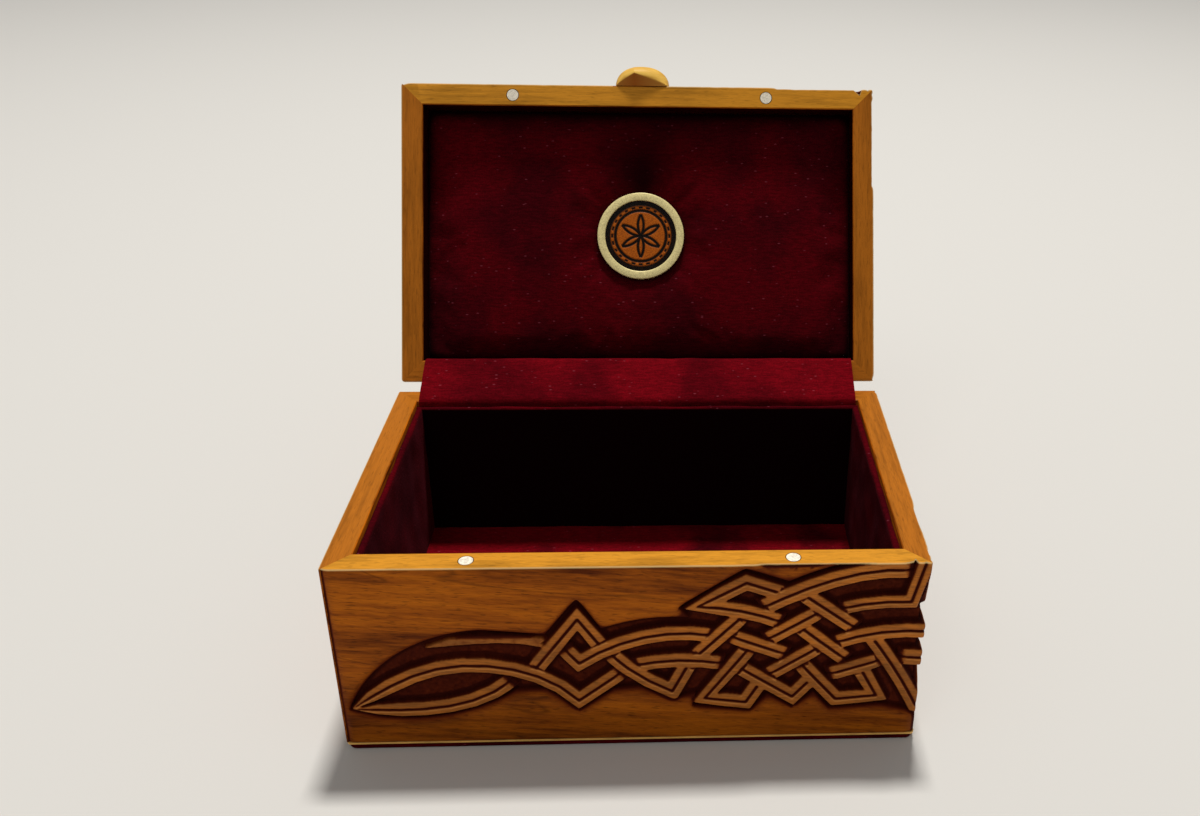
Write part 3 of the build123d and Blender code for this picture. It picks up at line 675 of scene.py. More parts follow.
def board_piece(name, node, side, in_lid, carved, holes=()):
    """A mitred board with its carving, softly rounded edges, groove or rabbet, and magnet holes."""
    sizes = bpy.context.scene.chest_sizes
    half = side_x if side in ("front", "rear") else rear_y
    foot_z, head_z = (lid_z, lid_top_z) if in_lid else (base_z, joint_z)
    step = sizes.carving_step * 1.0
    board = Board(name, node, side, in_lid, half, foot_z, head_z, foot_z if in_lid else head_z, step)

    # The outer face
    us, back_u, shares, back_z = face_lines(board, carved, sizes.arris)
    top_here = np.array([dome_top(side_place(side, u, 0, 0)) if in_lid else head_z for u in us])
    zs = foot_z + shares[:, None] * (top_here - foot_z)[None, :]
    depth = np.zeros(zs.shape)
    if carved:
        cut = carving(board)
        depth = sampled(cut.depth, cut, np.broadcast_to(us[None, :], zs.shape), zs)
    depth = np.maximum(depth, 0) + np.maximum(back_z[:, None], back_u[None, :])
    flat_u = np.sign(us)[None, :] * np.minimum(np.abs(us)[None, :], half - depth)
    points = [side_place(side, flat_u[at], depth[at], zs[at]) for at in np.ndindex(zs.shape)]
    grid = np.arange(zs.size).reshape(zs.shape)
    if in_lid and side in ("front", "rear"):
        for index in grid[-1]:
            x, y, _ = points[index]
            points[index] = (x, y, dome_top((x, y)))
    faces = grid_faces(*zs.shape)

    # The inner side
    strips = []
    for deep, z in inner_outline(board, sizes.arris):
        places = us * ((half - deep) / half) if z is None else np.array([-half + deep, half - deep])
        strip = []
        for u in places:
            level = dome_top(side_place(side, u, deep, 0)) if z is None else z
            strip.append(len(points))
            points.append(side_place(side, u, deep, level))
        strips.append(strip)
    faces += [tuple(one + two[::-1]) for one, two in zip(strips, strips[1:])]

    # The underside, the top and the mitred ends
    bottom, top = list(grid[0]), list(grid[-1])
    rim = bottom + strips[0][::-1] if in_lid else top + strips[-1][::-1]
    if in_lid:
        inner_top = strips[-1]
        faces += [(top[j], top[j + 1], inner_top[j + 1], inner_top[j]) for j in range(len(us) - 1)]
    else:
        faces.append(tuple(bottom + strips[0][::-1]))
    for end in (0, -1):
        faces.append(tuple(list(grid[:, end]) + [strip[end] for strip in strips[::-1]]))
    if not holes:
        faces.append(tuple(rim))

    made = new_piece(name, points, faces)
    if holes:
        drill(made, holes, rim, board.rim_z, 1 if in_lid else -1)
    outwards(made)
    if carved:
        count = sum(len(face.vertices) - 2 for face in made.data.polygons)
        if count > MOST_TRIANGLES:
            add_modifier(made, "DECIMATE", ratio=MOST_TRIANGLES / count)
        tint_carving(made, board, cut)
    dress_rim(made, board)
    if in_lid:
        made.data.transform(open_lid)
    smooth(made, 35 if carved else 30)
    return made


def tint_carving(piece, board, cut):
    """Stores the carving's stain with its painted shade, and its wear with its painted highlight, on the
    piece's points.
    """
    x, y, z = coordinates(piece)
    us, depths = (x, y - front_y) if board.side == "front" else (y, side_x - x)
    near_face = depths < sampled(cut.depth, cut, us, z) + 1.2 * MM
    on_face = near_face & (np.abs(z - board.rim_z) > 0.05 * MM)
    store(piece, "stain", sampled(cut.stain, cut, us, z) * on_face)
    store(piece, "rubbed", sampled(cut.rubbed, cut, us, z) * on_face)


def dress_rim(piece, board):
    """Marks the rim where box and lid meet, its worn outer edge with a painted highlight and the painted
    shade on the lid's inner side, and keeps the rim's flat shading apart from its rounded edges."""
    x, y, z = coordinates(piece)
    depth = {"front": y - front_y, "rear": rear_y - y, "left": x + side_x, "right": side_x - x}[board.side]
    from_rim = np.abs(z - board.rim_z)
    on_rim = from_rim < 0.02 * MM
    # The worn outer edge also carries a painted highlight
    worn_and_lit = between(from_rim, (0.05 * MM, 0.4 * MM)) & (depth < 3 * MM)
    if board.in_lid and board.side == "front":
        pull_low, pull_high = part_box("thumb_pull")
        worn_and_lit &= np.abs(x) > (pull_high - pull_low).x / 2
    store(piece, "rim", on_rim)
    store(piece, "arris", 0.6 * worn_and_lit)
    # Painted shade on the lid rails' inner sides
    store(piece, "inside", board.in_lid & (depth > wall - 0.05 * MM) & (from_rim > 0.3 * MM))
    mesh = bmesh.new()
    mesh.from_mesh(piece.data)
    for edge in mesh.edges:
        flat = [all(on_rim[v.index] for v in face.verts) for face in edge.link_faces]
        if any(flat) and not all(flat):
            edge.smooth = False
    mesh.to_mesh(piece.data)
    mesh.free()


def magnet_holes(box_of, *nodes):
    """Middle, radius and depth of the holes for two magnets, a little wider than the discs."""
    holes = []
    for node in nodes:
        low, high = box_of(node)
        middle = (low + high) / 2
        holes.append((middle.x, middle.y, (high.x - low.x) / 2 + HOLE_ROOM, high.z - low.z))
    return holes


def drill(piece, holes, outline, z, into):
    """Closes a flat rim round its magnet holes and sinks the holes."""
    mesh = bmesh.new()
    mesh.from_mesh(piece.data)
    mesh.verts.ensure_lookup_table()
    rim = [mesh.verts[i] for i in outline]
    loops = []
    for one, two in zip(rim, rim[1:] + rim[:1]):
        loops.append(mesh.edges.get((one, two)) or mesh.edges.new((one, two)))
    bearings = [2 * math.pi * k / HOLE_SIDES for k in range(HOLE_SIDES)]
    for x, y, radius, deep in holes:
        mouth, floor = (
            [mesh.verts.new((x + radius * math.cos(a), y + radius * math.sin(a), level)) for a in bearings]
            for level in (z, z + into * deep)
        )
        for k in range(HOLE_SIDES):
            after = (k + 1) % HOLE_SIDES
            loops.append(mesh.edges.new((mouth[k], mouth[after])))
            mesh.faces.new((mouth[k], mouth[after], floor[after], floor[k]))
        mesh.faces.new(floor)
    bmesh.ops.triangle_fill(mesh, use_beauty=True, edges=loops)
    mesh.to_mesh(piece.data)
    mesh.free()


# Modelling steps that several pieces share

def block_piece(name, low, high):
    """A box of the given corners, with its place in its mesh."""
    deselect()
    low, high = Vector(low), Vector(high)
    bpy.ops.mesh.primitive_cube_add(size=1, location=(low + high) / 2)
    piece = bpy.context.active_object
    piece.name = name
    piece.scale = high - low
    bpy.ops.object.transform_apply(location=True, rotation=True, scale=True)
    return piece


def pick_edges(piece, chosen):
    """Selects in edit mode the edges whose ends pass a test."""
    select(piece)
    bpy.ops.object.mode_set(mode="EDIT")
    bpy.ops.mesh.select_mode(type="EDGE")
    bpy.ops.mesh.select_all(action="DESELECT")
    mesh = bmesh.from_edit_mesh(piece.data)
    for edge in mesh.edges:
        if chosen(edge.verts[0].co, edge.verts[1].co):
            edge.select_set(True)
    bmesh.update_edit_mesh(piece.data)


def round_edges(piece, chosen, radius, segments):
    pick_edges(piece, chosen)
    bpy.ops.mesh.bevel(offset=radius, segments=segments, affect="EDGES")
    bpy.ops.object.mode_set(mode="OBJECT")


def divide(piece, axis, longest, cuts):
    """Cuts across every edge that runs further than the longest length along an axis."""
    pick_edges(piece, lambda a, b: abs(a[axis] - b[axis]) > longest)
    bpy.ops.mesh.subdivide(number_cuts=cuts)
    bpy.ops.object.mode_set(mode="OBJECT")


def uneven(piece, amount, size, seed=0.0):
    """Moves a soft piece's skin in and out a little, as stuffed cloth lies."""
    normals = [v.normal.copy() for v in piece.data.vertices]
    for vertex, normal in zip(piece.data.vertices, normals):
        place = vertex.co / size + Vector((seed, seed * 0.7, 0.3))
        vertex.co += normal * amount * noise.noise(place)


def puff(piece, held, most):
    """Lets the cloth of a pad settle over a little pressure; held points stay, and none moves too far."""
    start = [v.co.copy() for v in piece.data.vertices]
    piece.vertex_groups.new(name="held").add(held, 1.0, "REPLACE")
    cloth = piece.modifiers.new("Cloth", "CLOTH")
    settings = cloth.settings
    settings.quality = 5
    settings.mass = 0.01
    settings.bending_stiffness = 0.1
    settings.use_pressure = True
    settings.uniform_pressure_force = 4
    settings.shrink_min = -0.012
    settings.vertex_group_mass = "held"
    settings.effector_weights.gravity = 0
    frames = 20
    for number in range(1, frames + 1):
        bpy.context.scene.frame_set(number)
    select(piece)
    bpy.ops.object.modifier_apply(modifier=cloth.name)
    bpy.context.scene.frame_set(1)
    for vertex, place in zip(piece.data.vertices, start):
        move = vertex.co - place
        if move.length > most:
            vertex.co = place + move.normalized() * most


# Sizes and colours that a user would change

def colour_value(name, description, text):
    return bpy.props.FloatVectorProperty(
        name=name, description=description, subtype="COLOR", size=4, min=0, max=1,
        default=hex_colour(text),
    )


class ChestColours(bpy.types.PropertyGroup):
    walnut: colour_value("Walnut", "Middle tone of the oiled walnut", "#AC580F")
    walnut_light: colour_value("Light walnut", "Pale streaks of the walnut", "#CA6D12")
    walnut_dark: colour_value("Dark walnut", "Dark streaks of the walnut", "#662B06")
    rim_gold: colour_value("Front rims", "Rims polished golden by hands", "#DA922A")
    rim_brown: colour_value("Side rims", "Rims at the sides and the back", "#B66A1C")
    # Also painted shade: in the carving's recesses and on the lid's inner sides
    stain: colour_value("Stain", "Dark stain in the carved ground", "#240302")
    thin_stain_and_shade: colour_value("Thin stain", "Stain where it runs out", "#652106")
    # Also a painted highlight along the rims' outer edges
    arris: colour_value("Worn edges", "Outer edges of the rims, rubbed bare", "#F2CE88")
    # Also painted highlights on strap tops, raised edges and the grooves' lower lips
    rubbed: colour_value("Rubbed edges", "Straps and edges rubbed pale", "#DC9048")
    velvet: colour_value("Velvet", "Burgundy pile of the lining", "#56020B")
    velvet_bright: colour_value("Bright velvet", "Pile that faces the light", "#70040F")
    velvet_deep: colour_value("Deep velvet", "Pile brushed the dark way", "#42020A")
    # Painted shade on the velvet
    velvet_pressed: colour_value("Pressed velvet", "Pile in creases and shaded folds", "#120002")
    velvet_light: colour_value("Velvet highlight", "Light threads and ends of the pile", "#B85866")
    boxwood: colour_value("Boxwood", "Waxed boxwood of the thumb pull", "#EDBC56")
    boxwood_dark: colour_value("Dark boxwood", "Growth rings of the boxwood", "#DAA544")
    # Painted shade on the pull's underside
    boxwood_shaded: colour_value("Worn boxwood", "Underside of the thumb pull", "#A0560A")
    hinge_brass: colour_value("Hinge brass", "Brushed brass of the hinges", "#D2AA5A")
    # Pale, as a painted reflection of the polished brass line
    strip_brass: colour_value("Strip brass", "Brass line over the base", "#FFC666")
    badge_gold: colour_value("Badge ring", "Pale gold paint of the badge's ring", "#FFECA4")
    magnet: colour_value("Magnets", "Nickel skin of the magnets", "#FFF4DC")
    badge_wood: colour_value("Badge wood", "Orange stain of the badge's disc", "#C8660E")
    badge_dark: colour_value("Badge grain", "Dark grain of the badge's disc", "#843A06")
    char: colour_value("Char", "Burnt lines of the badge's disc", "#080402")
    char_brown: colour_value("Brown char", "Brown spots in the burnt lines", "#3A2008")
    floor: colour_value("Floor", "Pale floor under the chest", "#D8D4CC")
    room: colour_value("Room", "Even light from the room", "#F4F4F6")


class ChestSizes(bpy.types.PropertyGroup):
    carving_step: bpy.props.FloatProperty(
        name="Carving step", description="Spacing of the points of the carved faces",
        default=0.25 * MM, min=0.2 * MM, max=3 * MM, unit="LENGTH", precision=5,
    )
    arris: bpy.props.FloatProperty(
        name="Rounded edges", description="Radius of the boards' worn edges",
        default=0.6 * MM, min=0.1 * MM, max=2 * MM, unit="LENGTH", precision=5,
    )
    badge_relief: bpy.props.FloatProperty(
        name="Burning depth", description="Depth of the burnt lines on the badge",
        default=0.25 * MM, min=0, max=0.6 * MM, unit="LENGTH", precision=5,
    )


# Operators, one for each piece or group of like pieces

ACROSS = math.pi / 2


def make_boards(body, boards, holes):
    """Makes the mitred boards of the box or the lid, the front one with its magnet holes."""
    in_lid = body == "lid"
    for side, name, turn, shift, carved in boards:
        in_front = side == "front"
        node = f"lid_{side}_rail" if in_lid else f"{side}_wall"
        board = board_piece(name, node, side, in_lid, carved, holes if in_front else ())
        if name == "rear_side":
            cut_hinge_rooms(board)
        wood = walnut(
            ("oiled_walnut_lid_" if in_lid else "oiled_walnut_") + side, turn, shift, carved,
            rim="rim_gold" if in_front else "rim_brown", low_shade=carved and not in_lid,
        )
        settle(board, body, wood, node)


def cut_hinge_rooms(board):
    """Cuts the rooms of the two box leaves out of the rear wall."""
    room, past = 0.15 * MM, 2 * MM
    for leaf in ("box_hinge_leaf_left", "box_hinge_leaf_right"):
        low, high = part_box(leaf)
        places = [v.co for v in frame["nodes"][leaf].data.vertices]
        # The leaf's underside, in front of its knuckles
        under = min(p.z for p in places if p.y < low.y + 1 * MM)
        cutter = block_piece("hinge_room", (low.x - room, low.y - room, under),
                             (high.x + room, rear_y + past, joint_z + past))
        add_modifier(board, "BOOLEAN", operation="DIFFERENCE", object=cutter, solver="EXACT")
        bpy.data.objects.remove(cutter)
    smooth(board, 30)


class CHEST_OT_walls(bpy.types.Operator):
    """Makes the four walls of the box, the front and right ones with their carving"""
    bl_idname = "chest.walls"
    bl_label = "Box walls"
    bl_options = {"REGISTER", "UNDO"}

    def execute(self, context):
        make_boards("box", (
            ("front", "carved_front", (0, -0.09, 0), (0, 0, 0), True),
            ("right", "carved_right_side", (0, 0, ACROSS), (0.31, 0.1, 0.2), True),
            ("left", "left_side", (0, 0, ACROSS), (0.7, 0.3, 0.4), False),
            ("rear", "rear_side", (0, 0, 0), (0.5, 0.8, 0.1), False),
        ), magnet_holes(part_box, "box_magnet_left", "box_magnet_right"))
        return {"FINISHED"}


class CHEST_OT_bottom(bpy.types.Operator):
    """Makes the bottom board and the padded base"""
    bl_idname = "chest.bottom"
    bl_label = "Bottom and base"
    bl_options = {"REGISTER", "UNDO"}

    def execute(self, context):
        board = block_piece("bottom_panel", board_low, board_high)
        round_edges(board, lambda a, b: True, 0.3 * MM, 2)
        smooth(board)
        settle(board, "box", walnut("plain_board", (0, 0, 0), (0.2, 0.6, 0.9)), "bottom_board")
        low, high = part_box("base_pad")
        proud = Vector((0.9 * MM, 0.9 * MM, 0))
        pad = block_piece("base_cushion", low - proud, high + proud)
        round_edges(pad, lambda a, b: abs(a.z - b.z) > 1 * MM, 3 * MM, 6)
        round_edges(pad, lambda a, b: abs(a.z - b.z) < NEAR, 0.8 * MM, 3)
        smooth(pad, 60)
        settle(pad, "box", velvet("baize_velvet", (0.4, 0.2, 0.0)), "base_pad")
        return {"FINISHED"}


class CHEST_OT_linings(bpy.types.Operator):
    """Makes the velvet-covered boards that line the box"""
    bl_idname = "chest.linings"
    bl_label = "Box linings"
    bl_options = {"REGISTER", "UNDO"}

    def execute(self, context):
        cloth = velvet("lining_velvet")
        slack = 0.35 * MM
        for index, side in enumerate(("front", "rear", "left", "right")):
            low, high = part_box(side + "_lining")
            along, across = (0, 1) if side in ("front", "rear") else (1, 0)
            board = block_piece(side + "_velvet", low, high)
            divide(board, along, 50 * MM, 60)
            divide(board, 2, 40 * MM, 18)

            def on_long_top_edge(a, b):
                """Whether an edge lies on the top, runs along the wall and is one of the top's two sides."""
                outer = min(abs(a[across] - low[across]), abs(a[across] - high[across]))
                on_top = abs(a.z - high.z) + abs(b.z - high.z) < NEAR
                return on_top and abs(a[across] - b[across]) < NEAR and outer < NEAR

            round_edges(board, on_long_top_edge, 0.42 * (high[across] - low[across]), 5)
            uneven(board, slack, 11 * MM, index * 3.1)
            if side == "rear":
                # Painted shade: the pile is dark where the hinge cloth shades it, but not along the top edge
                store(board, "pressed", [v.co.z < high.z - 0.9 * MM for v in board.data.vertices])
            smooth(board, 60)
            settle(board, "box", cloth, side + "_lining")
        floor = block_piece("floor_velvet", *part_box("floor_lining"))
        divide(floor, 0, 50 * MM, 70)
        divide(floor, 1, 50 * MM, 44)
        uneven(floor, slack, 14 * MM, 9.0)
        smooth(floor, 60)
        # A lighter copy of the velvet, as painted light
        cloth = velvet("floor_cloth_velvet", (0.1, 0.4, 0.2), shades=("velvet_deep", "velvet_bright"))
        settle(floor, "box", cloth, "floor_lining")
        return {"FINISHED"}


class CHEST_OT_lid_frame(bpy.types.Operator):
    """Makes the lid's four rails and its domed panel"""
    bl_idname = "chest.lid_frame"
    bl_label = "Lid frame and panel"
    bl_options = {"REGISTER", "UNDO"}

    def execute(self, context):
        make_boards("lid", (
            ("front", "carved_lid_front", (opening, 0, 0), (0.9, 0.2, 0.5), True),
            ("right", "carved_lid_right", (opening, 0, ACROSS), (0.2, 0.9, 0.6), True),
            ("left", "lid_left_side", (opening, 0, ACROSS), (0.6, 0.5, 0.8), False),
            ("rear", "lid_rear_side", (opening, 0, 0), (0.3, 0.1, 0.7), False),
        ), magnet_holes(shut_box, "lid_magnet_left", "lid_magnet_right"))

        low, high = panel_low, panel_high
        panel = block_piece("lid_dome", low, high)
        divide(panel, 1, 50 * MM, 40)
        for vertex in panel.data.vertices:
            if vertex.co.z > high.z - NEAR:
                vertex.co.z = dome_top(vertex.co)
        top_z = low.z + 1 * MM
        edge = 0.35 * MM
        round_edges(panel, lambda a, b: abs(abs(a.x) - high.x) + abs(abs(b.x) - high.x) < NEAR
                    and min(a.z, b.z) > top_z and abs(a.y - b.y) > NEAR, edge, 2)
        round_edges(panel, lambda a, b: abs(a.x - b.x) > 50 * MM and min(a.z, b.z) > top_z
                    and abs(abs(a.y) - high.y) < NEAR, edge, 2)
        # Painted shade on the panel's underside
        store(panel, "inside", [v.co.z < low.z + 0.5 * MM for v in panel.data.vertices])
        panel.data.transform(open_lid)
        smooth(panel, 30)
        wood = walnut("oiled_walnut_dome", (opening, 0, 0), (0.45, 0.35, 0.15))
        settle(panel, "lid", wood, "lid_top_panel")
        return {"FINISHED"}


class CHEST_OT_lid_pad(bpy.types.Operator):
    """Makes the velvet pad of the lid, drawn down round the badge"""
    bl_idname = "chest.lid_pad"
    bl_label = "Lid pad"
    bl_options = {"REGISTER", "UNDO"}

    def execute(self, context):
        low, high = shut_box("lid_lining")
        badge_low, badge_high = shut_box("badge_ring")
        seat = (badge_high.x - badge_low.x) / 2 + 0.3 * MM
        step = 2.0 * MM
        xs = np.linspace(low.x, high.x, int((high.x - low.x) / step))
        ys = np.linspace(low.y, high.y, int((high.y - low.y) / step))

        def inset(x, y):
            return min(x - low.x, high.x - x, y - low.y, high.y - y)

        full_height, round_off = high.z - badge_high.z, 3.0 * MM
        skin = np.zeros((len(ys), len(xs), 3))
        for r, y in enumerate(ys):
            for c, x in enumerate(xs):
                bulge = full_height * math.sqrt(min(1.0, (inset(x, y) + 0.3 * MM) / round_off))
                skin[r, c] = (x, y, high.z - bulge)
        back = skin.copy()
        back[:, :, 2] = high.z
        pad = slab("lid_cushion", skin, back)
        held = [v.index for v in pad.data.vertices if high.z - v.co.z < NEAR
                or inset(v.co.x, v.co.y) < NEAR or math.hypot(v.co.x, v.co.y) < seat]
        puff(pad, held, 2.4 * MM)
        add_modifier(pad, "SUBSURF", levels=1)
        x, y, _ = coordinates(pad)
        store(pad, "pressed", painted_pile_shade(x, y, seat, high))
        pad.data.transform(open_lid)
        smooth(pad, 70)
        settle(pad, "lid", velvet("lid_velvet", (0.3, 0.5, 0.1), (opening, 0, 0)), "lid_lining")
        return {"FINISHED"}


def painted_pile_shade(x, y, seat, high):
    """Painted shade on the lid's pile: above the badge, in creases that run from it, along the edges and
    round the badge.
    """
    away = np.hypot(x, y) - seat
    bearing = np.arctan2(-y, x)
    fan = np.exp(-((bearing - math.radians(88)) / math.radians(24)) ** 2)
    above = fan * np.clip(1.25 - away / (38 * MM), 0, 1)
    creases = np.clip(np.cos(13 * bearing + 2.2 * np.sin(2 * bearing)) - 0.35, 0, 1)
    creases *= np.exp(-away / (12 * MM)) * np.clip(0.5 + np.sin(bearing), 0, 1)
    edges = np.exp(-(high.y + y) / (4 * MM)) + 0.6 * np.exp(-(high.x - np.abs(x)) / (3 * MM))
    edges += 0.85 * np.exp(-(high.y - y) / (6 * MM))
    contact = np.exp(-np.maximum(away, 0) / (1.6 * MM))
    return np.clip(np.maximum.reduce([0.9 * above, 0.8 * creases, edges, 0.8 * contact]), 0, 0.95)


class CHEST_OT_hinge_cloth(bpy.types.Operator):
    """Makes the velvet strip that bends from the rear wall into the lid"""
    bl_idname = "chest.hinge_cloth"
    bl_label = "Hinge cloth"
    bl_options = {"REGISTER", "UNDO"}

    def execute(self, context):
        low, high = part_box("hinge_cloth")
        rim_corner = Vector((0, inner_y, joint_z))
        rail_corner = open_lid @ Vector((0, inner_y, lid_z))
        rail_end = open_lid @ Vector((0, inner_y, lid_z + 4 * MM))
        route = cloth_route([Vector((0, inner_y, low.z)), rim_corner, rail_corner, rail_end], 0.6 * MM, 6)
        lift, thickness = 0.9 * MM, 0.7 * MM
        ripple_height, ripple_width = 0.25 * MM, 9 * MM
        xs = np.linspace(low.x, high.x, 120)
        top = np.zeros((len(route), len(xs), 3))
        under = np.zeros(top.shape)
        for r, point in enumerate(route):
            before, after = route[max(r - 1, 0)], route[min(r + 1, len(route) - 1)]
            along = (after - before).normalized()
            normal = Vector((0, -along.z, along.y))
            for c, x in enumerate(xs):
                ripple = ripple_height * noise.noise(Vector((x / ripple_width, r * 0.15, 2.0)))
                lie = point + normal * (lift + ripple)
                top[r, c] = (x, lie.y, lie.z)
            under[r] = top[r] - thickness * np.array(normal)
        strip = slab("hinge_velvet", top, under)
        smooth(strip, 70)
        # A lighter copy of the velvet, as painted light
        dress(strip, velvet("hinge_cloth_velvet", (0.2, 0.2, 0.4), shades=("velvet", "velvet_bright")))
        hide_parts("hinge_cloth")
        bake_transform(strip)
        return {"FINISHED"}


def cloth_route(corners, step, rounds):
    """A way from corner to corner in short steps, whose bends are eased a few times."""
    route = []
    for a, b in zip(corners, corners[1:]):
        count = max(2, int((b - a).length / step))
        route += [a.lerp(b, k / count) for k in range(count)]
    route.append(corners[-1])
    for _ in range(rounds):
        eased = [(a + b * 2 + c) / 4 for a, b, c in zip(route, route[1:], route[2:])]
        route = [route[0], *eased, route[-1]]
    return route


class CHEST_OT_badge(bpy.types.Operator):
    """Makes the round badge: a gold ring and a wooden disc with a burnt rosette"""
    bl_idname = "chest.badge"
    bl_label = "Badge"
    bl_options = {"REGISTER", "UNDO"}

    def execute(self, context):
        low, high = shut_box("badge_ring")
        disc_low, disc_high = shut_box("badge_disc")
        outer = (high.x - low.x) / 2
        inner = (disc_high.x - disc_low.x) / 2
        # The ring: a washer cut from a cylinder, with its visible edges rounded
        deselect()
        bpy.ops.mesh.primitive_cylinder_add(vertices=160, radius=outer, depth=high.z - low.z,
                                            end_fill_type="NGON", location=(0, 0, (low.z + high.z) / 2))
        ring = bpy.context.active_object
        ring.name = "gilt_ring"
        bpy.ops.object.transform_apply(location=True)
        bpy.ops.object.mode_set(mode="EDIT")
        bpy.ops.mesh.select_mode(type="FACE")
        bpy.ops.mesh.select_all(action="DESELECT")
        mesh = bmesh.from_edit_mesh(ring.data)
        for face in mesh.faces:
            face.select_set(abs(face.normal.z) > 0.9)
        bmesh.update_edit_mesh(ring.data)
        bpy.ops.mesh.inset(thickness=outer - inner - 0.05 * MM)
        bpy.ops.mesh.bridge_edge_loops()
        bpy.ops.object.mode_set(mode="OBJECT")
        outwards(ring)
        near = 0.01 * MM
        round_edges(ring, lambda a, b: abs(a.z - b.z) < near and abs(a.z - low.z) < near
                    and abs(math.hypot(a.x, a.y) - math.hypot(b.x, b.y)) < near, 0.35 * MM, 3)
        ring.data.transform(open_lid)
        smooth(ring, 40)
        # Gold paint on turned wood: metal flakes in a clear binder, so it shines less than bare metal
        gold = metal("pale_gold_paint", context.scene.chest_colours.badge_gold, 0.42,
                     (0.7, 0.7, 0.7), 0.6, metallic=0.2)
        settle(ring, "lid", gold, "badge_ring")

        disc, burns = burnt_disc("badge_rosette", inner, disc_low.z, disc_high.z)
        store(disc, "burn", burns)
        outwards(disc)
        disc.data.transform(open_lid)
        smooth(disc, 60)
        settle(disc, "lid", burnt_wood("burnt_badge_wood"), "badge_disc")
        return {"FINISHED"}


def burnt_disc(name, size, face_z, back_z):
    """A disc whose face is a fine polar sheet, sunk where its lines are burnt, and each point's burn."""
    rings, around = ((90, 220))
    relief = bpy.context.scene.chest_sizes.badge_relief
    points, burns, faces = [(0, 0, face_z)], [1.0], []
    for k in range(1, rings + 1):
        radius = size * k / rings
        for a in range(around):
            bearing = 2 * math.pi * a / around
            burn = burnt(radius / size, bearing)
            points.append((radius * math.cos(bearing), radius * math.sin(bearing), face_z + burn * relief))
            burns.append(burn)
    rim, edge = 1 + (rings - 1) * around, len(points)
    points += [(x, y, back_z) for x, y, _ in points[rim:]]
    burns += [1.0] * around
    for a in range(around):
        b = (a + 1) % around
        faces.append((0, 1 + b, 1 + a))
        for first in range(1, rim, around):
            faces.append((first + a, first + b, first + around + b, first + around + a))
    faces += [(rim + a, rim + (a + 1) % around, edge + (a + 1) % around, edge + a) for a in range(around)]
    faces.append(tuple(range(edge, edge + around)))
    return new_piece(name, points, faces), burns


def burnt(radius, bearing):
    """How deeply the rosette is burnt: a broad border, a beaded ring and six compass-drawn petals."""
    def line(away, half_width, fade):
        return (half_width - abs(away)) / fade

    border, ring, beads, arc = 0.85, 0.72, 0.81, 0.60
    lines = [(radius - border) / 0.05, line(radius - ring, 0.045, 0.03)]
    x, y = radius * math.cos(bearing), radius * math.sin(bearing)
    if radius < arc + 0.02:
        for k in range(6):
            turn = math.pi / 3 * k + math.pi / 6
            away = math.hypot(x - arc * math.cos(turn), y - arc * math.sin(turn))
            lines.append(line(away - arc, 0.040, 0.025))
    if math.cos(bearing * 24) > 0:
        lines.append(line(radius - beads, 0.03, 0.02))
    return min(1.0, max(0.0, max(lines) + 0.5))


class CHEST_OT_pull(bpy.types.Operator):
    """Carves the boxwood thumb pull"""
    bl_idname = "chest.pull"
    bl_label = "Thumb pull"
    bl_options = {"REGISTER", "UNDO"}

    def execute(self, context):
        low, high = shut_box("thumb_pull")
        middle, half = (low.x + high.x) / 2, (high.x - low.x) / 2
        reach = front_y - low.y - 0.72 * MM
        # The crest of the undercut: how far left of the middle, out from the rail and down it lies
        crest_x, crest_y, crest_drop = -3.5 * MM, 4.9 * MM, 3.2 * MM
        waist = 4.2 * MM
        top_z = high.z - lid_z
        top_slope, shoulder = 0.35, 0.88
        around, across = 72, 34
        under = np.zeros((around, across, 3))
        over = np.zeros((around, across, 3))
        for i in range(around):
            bearing = math.pi * i / (around - 1)
            # A little fuller at its shoulders than an ellipse
            edge_x = math.copysign(half * abs(math.cos(bearing)) ** shoulder, math.cos(bearing))
            edge_y = reach * math.sin(bearing) ** shoulder
            # Where the crest crosses the way from its foot to the pull's edge
            side = half if edge_x > crest_x else -half
            slope = crest_y / (side - crest_x)
            crossing = crest_y / max(edge_y + slope * (edge_x - crest_x), 1e-6)
            crest = min(0.92, crossing)
            drop = crest_drop * min(1.0, crest * edge_y / crest_y)
            for j in range(across):
                t = j / (across - 1)
                x, y = crest_x + t * (edge_x - crest_x), t * edge_y
                if t < crest:
                    z = -drop * (t / crest)
                else:
                    s = (t - crest) / (1 - crest)
                    z = -drop + (waist + drop) * (1 - math.sqrt(max(0.0, 1 - s ** 1.7)))
                under[i, j] = (middle + x, front_y - y, lid_z + z)
                upper = top_z - top_slope * y
                z = waist + (upper - waist) * math.sqrt(max(0.0, 1 - t ** 5))
                over[i, j] = (middle + x, front_y - y, lid_z + z)
        pull = slab("boxwood_pull", under, over)
        # Painted shade on the undercut's lower facet, darkest under its crest and paler towards its ends
        low_facet_shade = []
        for vertex in pull.data.vertices:
            shade = min(1.0, max(0.0, (vertex.normal.y + 0.1) / 0.4))
            shade *= vertex.normal.z < -0.2 and vertex.co.z < lid_z + 0.05 * MM
            low_facet_shade.append(shade * (1 - 0.35 * abs(vertex.co.x - middle - crest_x) / half))
        store(pull, "under", low_facet_shade)
        pull.data.transform(open_lid)
        smooth(pull, 28)
        settle(pull, "lid", boxwood("waxed_boxwood"), "thumb_pull")
        return {"FINISHED"}


